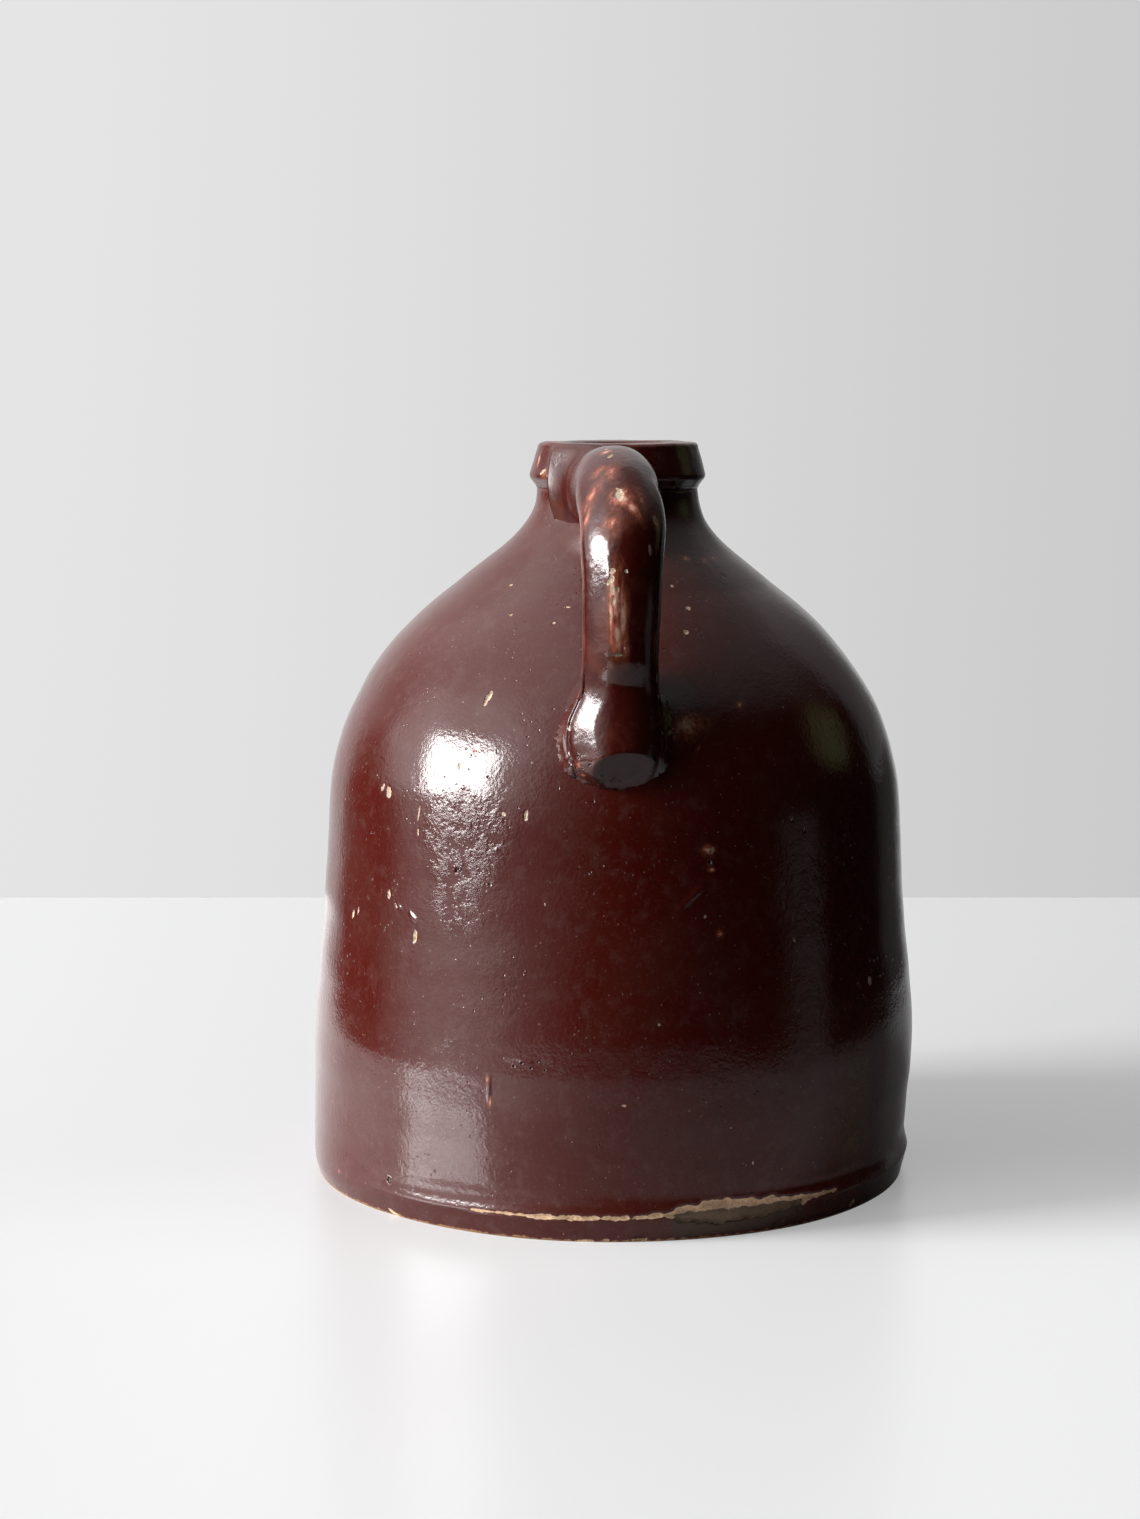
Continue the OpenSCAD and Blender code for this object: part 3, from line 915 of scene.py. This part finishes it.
handleMarks = {
    "chips": [
        (610, 456, 0.7, 1.7, 12, 0.15), (618, 494, 1.5, 2.3, -8, 0.3), (655, 520, 0.75, 1.4, 0, 0.15),
        (650, 550, 0.5, 1.7, 6, 0.15), (611, 579, 0.8, 1.3, 10, 0.2), (612, 589, 0.6, 1.6, -8, 0.15),
        (613, 602, 0.4, 1.3, 4, 0.1), (611, 618, 0.3, 1.5, 0, 0.1), (612, 571, 0.9, 0.9, 0, 0.2),
        (626, 571, 0.55, 0.6, 0, 0.2), (609, 583, 0.7, 0.5, 0, 0.2), (617, 589, 0.5, 0.7, 0, 0.2),
        (617, 655, 1.4, 0.4, 0, 0.2), (624, 648, 0.4, 0.4, 0, 0.1), (606, 449, 0.6, 0.5, 0, 0.1)],
    "thinSpots": [
        (616, 600, 1.7, 9, -1), (618, 634, 2.4, 7, 2), (611, 612, 1.1, 12), (623, 618, 1.7, 12, -2),
        (620, 498, 3.6, 4.4), (606, 452, 1.2, 2.4, 10), (633, 508, 1.7, 4.4, -25), (656, 521, 1, 2.4),
        (583, 775, 1.2, 0.6)],
    "blushes": [
        (611, 472, 2.6, 6), (630, 503, 2.3, 6), (612, 524, 3.4, 4.4, 6, 0.1), (592, 495, 2.4, 7, 6),
        (586, 520, 1.4, 6), (655, 640, 1, 9), (578, 765, 1.4, 1.5), (600, 470, 2, 4, 20),
        (642, 500, 1.6, 5)],
    "pits": [
        (602, 775, 0.5, 0.5, 0, 0.3), (614, 778, 0.5, 0.6, 0, 0.35), (620, 781, 0.4, 0.5, 0, 0.3),
        (590, 765, 0.7, 0.6, 0, 0.3), (578, 756, 0.6, 0.7, 0, 0.3), (583, 769, 0.6, 0.5, 0, 0.3)],
}


def handleLine(s):
    up = Vector((0, 0, 1))
    out = Vector((0, -1, 0))
    root, arch, drop, end = s["root"], s["arch"], s["drop"], s["end"]
    archRun = root.y - arch.y
    bendOut = arch.y - drop.y
    bendFall = arch.z - drop.z
    dropRun = drop.z - end.z
    return [(root, root + out * 0.34 * archRun, arch - out * 0.4 * archRun, arch),
            (arch, arch + out * 0.58 * bendOut, drop + up * 0.74 * bendFall, drop),
            (drop, drop - up * 0.32 * dropRun, end + up * 0.3 * dropRun + out * 0.45 * mm, end)]


def handleStations(s):
    # (place along the line, centre, direction, half width, half thickness) of each ring
    curves = handleLine(s)
    stations = []
    for number, ends in enumerate(curves):
        count = len(bezierRun(ends, s["step"]))
        for i in range(count + (number == len(curves) - 1)):
            t = i / count
            slope = bezierPoint(ends, min(t + 0.02, 1)) - bezierPoint(ends, max(t - 0.02, 0))
            flare = max(0, 1 - (number + t) / s["flareTo"]) ** 2
            aside = Vector((valueAlong(s["aside"], number + t) * mm + s["flareAside"] * flare, 0, 0))
            wide = valueAlong(s["halfWidth"], number + t) * mm + s["flareWide"] * flare
            thick = valueAlong(s["halfThick"], number + t) * mm
            stations.append((number + t, bezierPoint(ends, t) + aside, slope.normalized(), wide, thick))
    place, centre, slope, wide, thick = stations[-1]
    for i in range(1, s["tipRings"]):
        a = math.radians(90 * i / s["tipRings"])
        narrowing = math.cos(a) ** 0.8
        stations.append((place + i / 100, centre + slope * s["tip"] * math.sin(a), slope,
                         wide * narrowing, thick * narrowing))
    return stations


def ringPlace(station):
    # a matrix that takes a unit circle in XY to the ring
    _, centre, along, wide, thick = station
    across = Vector((1, 0, 0))
    off = along.cross(across)
    turn = Matrix((across, off, along)).transposed().to_4x4()
    return Matrix.Translation(centre) @ turn @ Matrix.Diagonal((wide, thick, 1, 1))


def filletFor(s, place, turn):
    # radius of the fillet to the skin, by the place along the handle and the side
    if place < 1.5:
        return valueAlong(s["rootFillets"], turn) * mm
    right = 0.5 + 0.5 * math.cos(math.radians(turn))
    side = s["endFilletLeft"] + (s["endFilletRight"] - s["endFilletLeft"]) * smoothStep(0.35, 0.9, right)
    return side + (s["endFilletBelow"] - side) * smoothStep(3.02, 3.12, place)


def sculptHandle(rings, thin, rootSkin, endSkin, s):
    # fillets to the skin, the worn ridge, the thumbed facet and the pitted clay at the lower left
    facet = s["facetNormal"].normalized()
    flankAngle = math.radians(s["flankTurn"])
    across, inward = Vector((1, 0, 0)), Vector((0, 1, 0))
    for station, verts in rings:
        place, centre, along, wide, thick = station
        ring = ringPlace(station)
        back = ring.inverted()
        power = valueAlong(handleShape["squareness"], min(place, 3))
        flankAcross, flankOff = math.cos(flankAngle), math.sin(flankAngle)
        flank = across * flankAcross + along.cross(across) * flankOff
        flankReach = math.hypot(wide * flankAcross, thick * flankOff) - s["flankDepth"]
        flankShare = s["flankShare"] * smoothStep(1.1, 1.5, place)
        leftPower = power - s["leftSlope"] * smoothStep(2.5, 2.75, place)
        for v in verts:
            local = back @ v.co
            turn = math.degrees(math.atan2(local.y, local.x)) % 360
            p = power + (leftPower - power) * smoothStep(0.05, -0.25, local.x)
            swell = ((abs(local.x) / local.length) ** p + (abs(local.y) / local.length) ** p) ** (-1 / p)
            v.co = ring @ Vector((local.x * swell, local.y * swell, 0))
            out = (v.co - centre).normalized()
            v.co -= flank * max(0, (v.co - centre).dot(flank) - flankReach) * flankShare
            ridge = math.exp(-((turn - s["ridgeTurn"]) / s["ridgeWidth"]) ** 2)
            ridge *= smoothStep(s["ridgeFrom"], s["ridgeFrom"] + 1 * mm, v.co.z)
            ridge *= 1 - smoothStep(s["ridgeTo"] - 6 * mm, s["ridgeTo"], v.co.z)
            if place > 1.2:
                v.co += out * s["ridgeHeight"] * ridge
            v.co += out * s["waveDepth"] * wobble(v.co, s["waveSize"], 9)
            low = v.co.z + 0.1 * v.co.x + 1.5 * mm * wobble(v.co, 7 * mm, 6)
            if place > 2 and 20 < turn < 160:
                v.co += inward * s["thumbDepth"] * smoothStep(s["thumbFrom"], s["thumbTo"], low)
            edge = math.exp(-((turn - s["edgeTurn"]) / s["edgeWidth"]) ** 2)
            onDrop = smoothStep(1.35, 1.6, place) * (1 - smoothStep(2.6, 2.75, place))
            v[thin] = s["edgeThin"] * edge * onDrop
            blob = max(0, 1 - (v.co - s["blobPlace"]).length / s["blobReach"])
            lumps = wobble(v.co, 3 * mm, 1) + 0.6 * wobble(v.co, 1.5 * mm, 2) + 0.3
            v.co += out * s["blobDepth"] * blob * lumps
            deep = (v.co - s["facetPlace"]).dot(facet)
            if deep > 0:
                v.co -= facet * deep * s["facetShare"]
            nearest, normal, _, _ = (rootSkin if place < 1.5 else endSkin).find_nearest(v.co)
            clear = (v.co - nearest).dot(normal)
            fillet = filletFor(s, place, turn)
            if clear < fillet:
                spread = 1 - max(clear, 0) / fillet
                sideways = out - normal * out.dot(normal)
                if sideways.length > 0.2:
                    v.co += sideways.normalized() * fillet * (1 - math.sqrt(max(0, 1 - spread * spread)))
            v.co.z = min(v.co.z, cadBox[1].z - 0.05 * mm)


def makeHandle(s, rootSkin, endSkin, material):
    bm = startMesh()
    stations = handleStations(s)
    circle = bmesh.ops.create_circle(bm, segments=s["sides"], radius=1, cap_ends=False)
    place = ringPlace(stations[0])
    bmesh.ops.transform(bm, matrix=place, verts=circle["verts"])
    edges = list(bm.edges)
    rings = [(stations[0], circle["verts"])]
    for station in stations[1:]:
        grown = bmesh.ops.extrude_edge_only(bm, edges=edges)["geom"]
        verts = [g for g in grown if isinstance(g, bmesh.types.BMVert)]
        newPlace = ringPlace(station)
        bmesh.ops.transform(bm, matrix=newPlace @ place.inverted(), verts=verts)
        place = newPlace
        edges = [g for g in grown if isinstance(g, bmesh.types.BMEdge) and g.is_boundary]
        rings.append((station, verts))
    ends = [e for e in bm.edges if e.is_boundary]
    bmesh.ops.holes_fill(bm, edges=ends, sides=0)
    bmesh.ops.recalc_face_normals(bm, faces=bm.faces)
    sculptHandle(rings, bm.verts.layers.float["thin"], rootSkin, endSkin, handleSculpt)
    rootVerts = [v for station, verts in rings for v in verts if station[0] < 0.9]
    for _ in range(handleSculpt["rootSmoothing"]):
        bmesh.ops.smooth_vert(bm, verts=rootVerts, factor=0.5,
                              use_axis_x=True, use_axis_y=True, use_axis_z=True)
    marks = findMarks(bm, handleMarks)
    refineNear(bm, marks)
    cutMarks(bm, marks)
    return finishMesh(bm, "pulledHandle", material)


# Finishes

clayLook = {
    "pale": (0.84, 0.68, 0.52),
    "dark": (0.46, 0.30, 0.19),
    "tan": (0.86, 0.55, 0.32),  # of the foot
    "stained": (0.34, 0.17, 0.08),
    "dirt": (0.050, 0.028, 0.017),
    "roughness": 0.85,
    # colours of thinner and thinner glaze, and how thin it is where each starts and covers
    "thinning": [((0.14, 0.034, 0.017), 0.2, 0.6), ((0.56, 0.165, 0.11), 0.5, 0.85),
                 ((0.92, 0.58, 0.42), 0.72, 0.98)],
    "mottling": 0.9,
    "ragged": 0.3,
    "footHeight": (16, 11),  # mm, between which the bare clay turns tan
    "relief": 0.12,  # mm
}


def wearOver(f, colour, roughness, height, streaks=1.0):
    # thin glaze turns russet, amber and buff, chips show the clay, and pits hold dirt
    look = clayLook
    ragged = (f.noise(0.9 * mm, 4, 0.6) - 0.5) * look["ragged"]
    mottle = (f.noise(1.3 * mm, 5, 0.7, f.stretched(streaks)) - 0.5) * look["mottling"]
    crumb = f.noise(0.7 * mm, 3, 0.7)
    stain = f.between(f.noise(3.5 * mm, 3), 0.42, 0.62)
    low = f.between(f.axes()[2] / mm, *look["footHeight"])
    clay = f.blendColours(f.between(crumb, 0.36, 0.6), look["dark"], look["pale"])
    clay = f.blendColours(low * f.between(crumb, 0.3, 0.5) * 0.7, clay, look["tan"])
    clay = f.blendColours(stain * 0.4, clay, look["stained"])
    thin = f.attribute("thin") + mottle
    bare = f.between(f.attribute("bare") + ragged, 0.46, 0.54)
    sooty = f.between(f.attribute("sooty") + ragged, 0.72, 0.9)
    for thinColour, first, last in look["thinning"]:
        colour = f.blendColours(f.between(thin, first, last), colour, thinColour)
    colour = f.blendColours(bare, colour, clay)
    colour = f.blendColours(sooty * 0.85, colour, look["dirt"])
    relief = height * (1 - bare) + crumb * look["relief"] * bare
    bump = f.node("ShaderNodeBump", {}, {"Height": relief, "Strength": 1, "Distance": mm})
    f.set(Base_Color=colour, Roughness=roughness * (1 - bare) + look["roughness"] * bare,
          Normal=bump, Specular_IOR_Level=0.5, IOR=1.5)


bodyGlazeLook = {
    "deep": (0.064, 0.0052, 0.0028),
    "brown": (0.066, 0.0105, 0.0065),
    "bloom": (0.100, 0.036, 0.030),
    "fleck": (0.42, 0.28, 0.17),
    "speck": (0.30, 0.21, 0.17),
    "roughness": 0.078,
    "scuffs": 0.07,  # what they and the rest add to the roughness
    "grain": 0.04,
    "dullTop": 0.16,
    "dullFoot": 0.04,
    "peel": 0.045,  # mm of relief, as with the next four
    "peelWherePitted": 0.04,
    "fine": 0.038,
    "pinholes": 0.10,
    # where the glaze crawled: turn, height, inner and outer reach, depth
    "crawling": [
        (-30, 116, 9, 19, 0.36), (-31, 52, 3, 13, 0.12), (-31, 97, 3, 16, 0.26), (-58, 96, 2, 12, 0.12),
        (-15, 133, 3, 11, 0.05), (24, 97, 2, 12, 0.06), (37, 100, 5, 21, 0.10), (37, 62, 4, 19, 0.06),
        (118, 92, 4, 18, 0.14), (-140, 110, 4, 20, 0.14)],
}


def bodyGlaze(look):
    f = Finish("deepRedGlaze")
    height = f.axes()[2] / mm
    cloud = f.noise(26 * mm, 3)
    patch = f.noise(5 * mm, 4, 0.6)
    grain = f.noise(1.1 * mm, 3, 0.7)
    flecks = f.dots(3.2 * mm, 0.075, 0.03) * f.between(f.noise(9 * mm, 2), 0.5, 0.62)
    specks = f.dots(2.3 * mm, 0.15, 0.07) * f.between(f.noise(7 * mm, 4, 0.7), 0.46, 0.66)
    foot = f.between(height + (f.noise(2.2 * mm, 4, 0.6) - 0.5) * 2.4, 0.75, 0.35)
    colour = f.blendColours(f.between(cloud, 0.38, 0.66), look["deep"], look["brown"])
    for share, layer in ((f.between(patch, 0.48, 0.74) * 0.5, look["bloom"]),
                         (f.between(grain, 0.52, 0.75) * 0.5, look["bloom"]),
                         (flecks, look["fleck"]),
                         (foot, clayLook["stained"]),
                         (specks * 0.6, look["speck"])):
        colour = f.blendColours(share, colour, layer)

    pitted = f.between(f.noise(16 * mm, 2), 0.45, 0.62)
    pinholes = f.dots(2.7 * mm, 0.17, 0.06) * pitted
    relief = f.noise(1.9 * mm, 2, 0.5) * (look["peel"] + look["peelWherePitted"] * pitted)
    relief = relief + f.noise(0.95 * mm, 3, 0.65) * look["fine"] - pinholes * look["pinholes"]
    clumps = f.between(f.noise(3.6 * mm, 3, 0.6), 0.4, 0.62)
    wrinkles = f.noise(1.3 * mm, 4, 0.65, f.stretched(1.15)) * (0.16 + clumps * 0.84)
    for turn, rise, inner, outer, depth in look["crawling"]:
        off = f.offFrom(roundTheJug(turn, skinRadius(rise * mm), rise * mm))
        relief = relief + wrinkles * f.between(off, outer * mm, inner * mm) * depth

    scuffed = f.between(f.noise(7 * mm, 5, 0.7), 0.52, 0.75)
    dull = f.between(height, 150, 205) * look["dullTop"] + f.between(height, 80, 45) * look["dullFoot"]
    roughness = look["roughness"] + scuffed * look["scuffs"] + grain * look["grain"] + foot * 0.5 + dull
    wearOver(f, colour, roughness, relief)
    return f.material


handleGlazeLook = {
    "deep": (0.050, 0.0056, 0.0034),
    "brown": (0.084, 0.0165, 0.0095),
    "roughness": 0.10,
    "scuffs": 0.12,  # what they and the rest add to the roughness
    "grain": 0.04,
    "wornTop": 0.10,
    "peel": 0.05,  # mm of relief, as with the next two
    "fine": 0.03,
    "wrinkles": 0.09,
    "streaks": 0.3,  # the mottling's scale in height, so that it runs down
}


def handleGlaze(look):
    f = Finish("thinAmberGlaze")
    grain = f.noise(0.9 * mm, 3, 0.7)
    colour = f.blendColours(f.between(f.noise(8 * mm, 4, 0.6), 0.45, 0.68), look["deep"], look["brown"])
    wrinkled = f.between(f.noise(6 * mm, 2), 0.42, 0.6)
    relief = f.noise(2.6 * mm, 2, 0.5) * look["peel"] + grain * look["fine"]
    relief = relief + f.noise(1.2 * mm, 4, 0.6) * wrinkled * look["wrinkles"]
    worn = f.between(f.axes()[2] / mm, 198, 214)
    scuffed = f.between(f.noise(5 * mm, 5, 0.7), 0.55, 0.75)
    roughness = look["roughness"] + scuffed * look["scuffs"] + grain * look["grain"]
    wearOver(f, colour, roughness + worn * look["wornTop"], relief, look["streaks"])
    return f.material


bodyMaterial = bodyGlaze(bodyGlazeLook)
handleMaterial = handleGlaze(handleGlazeLook)
vessel = makeBody(bodyShape, bodyMaterial)
print("vessel made,", len(vessel.data.polygons), "faces")
collar = makeCollar(collarShape, bodyMaterial)
print("collar made,", len(collar.data.polygons), "faces")
upperClay = makeClay(upperClayShape, "upperClay", "upper_luting_clay", {}, bodyMaterial)
lowerClay = makeClay(lowerClayShape, "lowerClay", "lower_luting_clay", lowerClayMarks, bodyMaterial)
print("clay worked in")


def rootTree(s):
    # a plain skin of the shoulder, neck and collar, without the step between them
    bm = bmesh.new()
    line = [p for p in outerLine if s["rootSkinFrom"] - 60 * mm < p.z < s["rootSkinFrom"]]
    line += [flat(s["rootSkin"], s["rootSkinFrom"] + up) for up in (5 * mm, 40 * mm)]
    spinRound(bm, line, bodyShape)
    for v in bm.verts:
        v.co = unevenSkin(v.co, 0)
    tree = BVHTree.FromBMesh(bm)
    bm.free()
    return tree


def skinTree(*pieces):
    # one tree of the outside of several pieces
    joined = bmesh.new()
    for piece in pieces:
        joined.from_mesh(piece.data)
    tree = BVHTree.FromBMesh(joined)
    joined.free()
    return tree


handle = makeHandle(handleShape, rootTree(handleSculpt), skinTree(vessel, lowerClay), handleMaterial)
print("handle made,", len(handle.data.polygons), "faces")

for piece, node, slot in ((vessel, "body", "body_glaze"),
                          (collar, "mouth_collar", "body_glaze"),
                          (upperClay, "upper_luting_clay", "body_glaze"),
                          (lowerClay, "lower_luting_clay", "body_glaze"),
                          (handle, "handle", "handle_glaze")):
    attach(piece, "root")
    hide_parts(node)

# Floor, backdrop, room and window

stageLook = {
    "floorReach": 1900 * mm,
    "floorBack": 463 * mm,
    "wallPlace": 1300 * mm,
    "floorColour": (0.48, 0.48, 0.486),
    "floorMattColour": (0.72, 0.72, 0.72),  # as matt surfaces are lit by it
    "mattReach": 195 * mm,  # how far from the middle of the floor that light comes
    "floorGlow": 0.24,
    "floorPaintedLightInFront": 0.16,  # painted light: the floor glows more over this stretch to the front and across, a painted pool of light
    "inFront": (20 * mm, -130 * mm),
    "inFrontAcross": (-300 * mm, 0),
    "floorPaintedReflectionGlow": 0.75,  # painted reflection: the floor glows only as the glaze mirrors it, over this stretch towards the window
    "paintedReflectionAcross": (20 * mm, -200 * mm),
    "wallGlow": (0.715, 0.545),  # from left to right, over this stretch: painted light, brighter on the window's side
    "wallPaintedFalloffAcross": (-500 * mm, 600 * mm),
    "wallGlowForMatt": 1.3,  # it lights the jug's back
    "behindColour": (0.66, 0.66, 0.67),  # what other views see past the backdrop
    # the part of the floor and backdrop that the glaze mirrors
    "tableLeft": -335 * mm, "tableRight": 370 * mm, "tableFront": -430 * mm,
    "tableCorner": 450 * mm,
    "tableEdge": 8 * mm,  # over which it fades in
    "wallLeft": (-1200 * mm, -1100 * mm),  # where it starts and where it is whole
    "wallRight": (550 * mm, 520 * mm),
}

# The window is what the glaze mirrors, and the sky in it lights matt surfaces from further round
windowLook = {
    "turn": -67.8,  # degrees round from the camera's side, to the left
    "rise": 20.0,  # degrees above the floor
    "distance": 2600 * mm,
    "size": (1540 * mm, 975 * mm),
    "roll": 7,
    "radiance": 26,
}

skyLook = {
    "turn": -78,
    "rise": 24,
    "distance": 2600 * mm,
    "size": (900 * mm, 900 * mm),
    "roll": 0,
    "radiance": 44,
}


def sheetAt(name, corners, material):
    bm = bmesh.new()
    bm.faces.new([bm.verts.new(c) for c in corners])
    piece = finishMesh(bm, name, material)
    return piece


def seenByCameraOr(f, shown, matt, near=1.0):
    # the camera sees the surface, other rays do where it is shown, and matt ones only where it's near
    mattRay = f.ray("Diffuse")
    clear = f.node("ShaderNodeBsdfTransparent", {}, {})
    lit = f.node("ShaderNodeMixShader", {}, {0: mattRay, 1: Wire(f, f.shader.outputs[0]), 2: matt})
    seen = f.between(f.ray("Camera") + shown * (1 - mattRay * (1 - near)), 0, 1)
    mixed = f.node("ShaderNodeMixShader", {}, {0: seen, 1: clear, 2: lit})
    f.feed(f.tree.nodes["Material Output"].inputs["Surface"], mixed)


def floorFinish(look):
    f = Finish("paleFloor")
    x, y, _ = f.axes()
    # painted light: the front stretch of the floor glows brighter to the camera, a painted pool of light
    front = f.between(y, *look["inFront"]) * f.between(x, *look["inFrontAcross"])
    shownGlowAndPaintedPool = look["floorGlow"] + look["floorPaintedLightInFront"] * front
    # painted reflection: glow that only glossy rays see, brightest on the window's side
    paintedReflectionGlow = look["floorPaintedReflectionGlow"] * f.between(x, *look["paintedReflectionAcross"])
    glow = shownGlowAndPaintedPool * f.ray("Camera") + paintedReflectionGlow * f.ray("Glossy")
    f.set(Base_Color=look["floorColour"], Roughness=0.30 - 0.18 * f.ray("Glossy"),
          Specular_IOR_Level=0.45, Emission_Color=f.grey(glow), Emission_Strength=1.0)
    edge = look["tableEdge"]
    table = f.between(x, look["tableLeft"], look["tableLeft"] + edge)
    table = table * f.between(x, look["tableRight"], look["tableRight"] - edge)
    table = table * f.between(y, look["tableFront"], look["tableFront"] + edge)
    table = table * f.between(x + 0.5 * y, look["tableCorner"], look["tableCorner"] - edge)
    matt = f.node("ShaderNodeBsdfDiffuse", {}, {"Color": look["floorMattColour"]})
    near = f.between(f.offFrom((0, 0, 0)), look["mattReach"], look["mattReach"] * 0.55)
    seenByCameraOr(f, table, matt, near)
    return f.material


def wallFinish(look):
    f = Finish("paleWall")
    x = f.axes()[0]
    left, right = look["wallGlow"]
    # painted light: the backdrop glows brighter on the left, towards the window, and darker to the right
    glow = left + (right - left) * f.between(x, *look["wallPaintedFalloffAcross"])
    f.set(Base_Color=(0.05, 0.05, 0.05), Roughness=0.9, Emission_Color=f.grey(glow),
          Emission_Strength=1.0)
    shown = f.between(x, *look["wallLeft"]) * f.between(x, *look["wallRight"])
    matt = f.node("ShaderNodeEmission", {}, {"Color": (1, 1, 1), "Strength": look["wallGlowForMatt"]})
    seenByCameraOr(f, shown, matt)
    return f.material


def makeStage(look):
    side, back, away = look["floorReach"], look["floorBack"], look["wallPlace"]
    sheetAt("floor", [(-side, -side, 0), (side, -side, 0), (side, back, 0), (-side, back, 0)],
            floorFinish(look))
    sheetAt("backdrop", [(-3, away, -1), (3, away, -1), (3, away, 2), (-3, away, 2)], wallFinish(look))


def direction(turn, rise=0):
    a = math.radians(rise)
    return roundTheJug(turn, math.cos(a), math.sin(a))


def areaLamp(name, look, mirrored):
    # a lamp that faces the jug's middle, to be mirrored or to light matt surfaces
    wide, high = look["size"]
    data = bpy.data.lights.new(name, "AREA")
    data.shape = "RECTANGLE"
    data.size, data.size_y = wide, high
    data.energy = look["radiance"] * math.pi * wide * high
    lamp = bpy.data.objects.new(name, data)
    aim = Vector((0, 0, 110 * mm))
    lamp.location = aim + direction(look["turn"], look["rise"]) * look["distance"]
    lamp.rotation_mode = "QUATERNION"
    lamp.rotation_quaternion = (aim - lamp.location).to_track_quat("-Z", "Y")
    lamp.rotation_quaternion @= Quaternion((0, 0, 1), math.radians(look["roll"]))
    lamp.visible_camera = False
    lamp.visible_glossy = mirrored
    lamp.visible_diffuse = not mirrored
    bpy.context.scene.collection.objects.link(lamp)


makeStage(stageLook)
areaLamp("windowLamp", windowLook, mirrored=True)
areaLamp("skyLamp", skyLook, mirrored=False)

roomLook = {
    "dark": 0.006,
    "fill": 0.014,
    "glow": 0.62,  # of the pale wall by the window
    "highGlow": 0.80,  # more, from the ceiling over it
    "halo": 1.7,  # of the wall right round the window
    "haloTurn": -66, "haloRise": 20,
    "sideGlow": 1.5,  # of the wall further round
    "sideTurn": -99, "sideRise": 21,
    "glowForMatt": 0.04,  # share of it that lights matt surfaces
    "ceiling": 0.27,
    "gapTurn": -118, "gapRise": -6,  # a dark place between the window wall and the backdrop
    # upright bands: turn, half width, lowest and highest sine of the rise, glow
    "bands": [(78, 9.5, -0.5, -0.05, 0.15), (142, 13, 0.02, 0.62, 0.15), (163, 9, -0.3, 0.62, 0.24),
              (142, 13, -0.3, 0.02, 0.06)],
    "greenTurn": 107, "greenRise": 19, "greenGlow": (0.21, 0.24, 0.12),
}


def makeRoom(look):
    world = bpy.data.worlds.new("room")
    world.use_nodes = True
    bpy.context.scene.world = world
    f = Network(world.node_tree, "Generated")
    x, y, z = f.axes()

    def roundPatch(turn, rise, outer, inner):
        # 1 within inner degrees of a direction, 0 past outer degrees
        ends = [math.cos(math.radians(a)) for a in (outer, inner)]
        return f.between(f.along(direction(turn, rise)), *ends)

    def upright(turn, half, low, high, bandGlow):
        # a soft-edged upright band
        side = f.node("ShaderNodeMath", {"operation": "ABSOLUTE"}, {0: f.along(direction(turn + 90))})
        wide = f.between(side, *[math.sin(math.radians(half + soft)) for soft in (1.5, -1.5)])
        wide = wide * f.between(f.along(direction(turn)), 0, 0.2)
        return wide * f.between(z, low - 0.03, low) * f.between(z, high + 0.03, high) * bandGlow

    gap = roundPatch(look["gapTurn"], look["gapRise"], 25, 11)
    wallGlow = look["glow"] + look["highGlow"] * f.between(z, 0.35, 0.75)
    glow = f.between(z * 0.35 - x, 0.1, 0.75) * wallGlow
    glow = glow + look["halo"] * roundPatch(look["haloTurn"], look["haloRise"], 38, 14)
    glow = glow * (1 - gap * 0.9)
    glow = glow + look["sideGlow"] * roundPatch(look["sideTurn"], look["sideRise"], 21, 6)
    mirrored = look["dark"] + glow + f.between(z + y * 0.3, 0.5, 0.85) * look["ceiling"]
    for band in look["bands"]:
        mirrored = mirrored + upright(*band)
    matt = f.ray("Diffuse")
    light = mirrored * (1 - matt) + (look["fill"] + glow * look["glowForMatt"]) * matt
    green = roundPatch(look["greenTurn"], look["greenRise"], 13, 2)
    colour = f.blendColours(green * (1 - matt), f.grey(light), look["greenGlow"])
    colour = f.blendColours(f.ray("Camera"), colour, stageLook["behindColour"])
    f.feed(world.node_tree.nodes["Background"].inputs["Color"], colour)


makeRoom(roomLook)
bpy.context.scene.view_settings.view_transform = "Standard"
print("stage set")
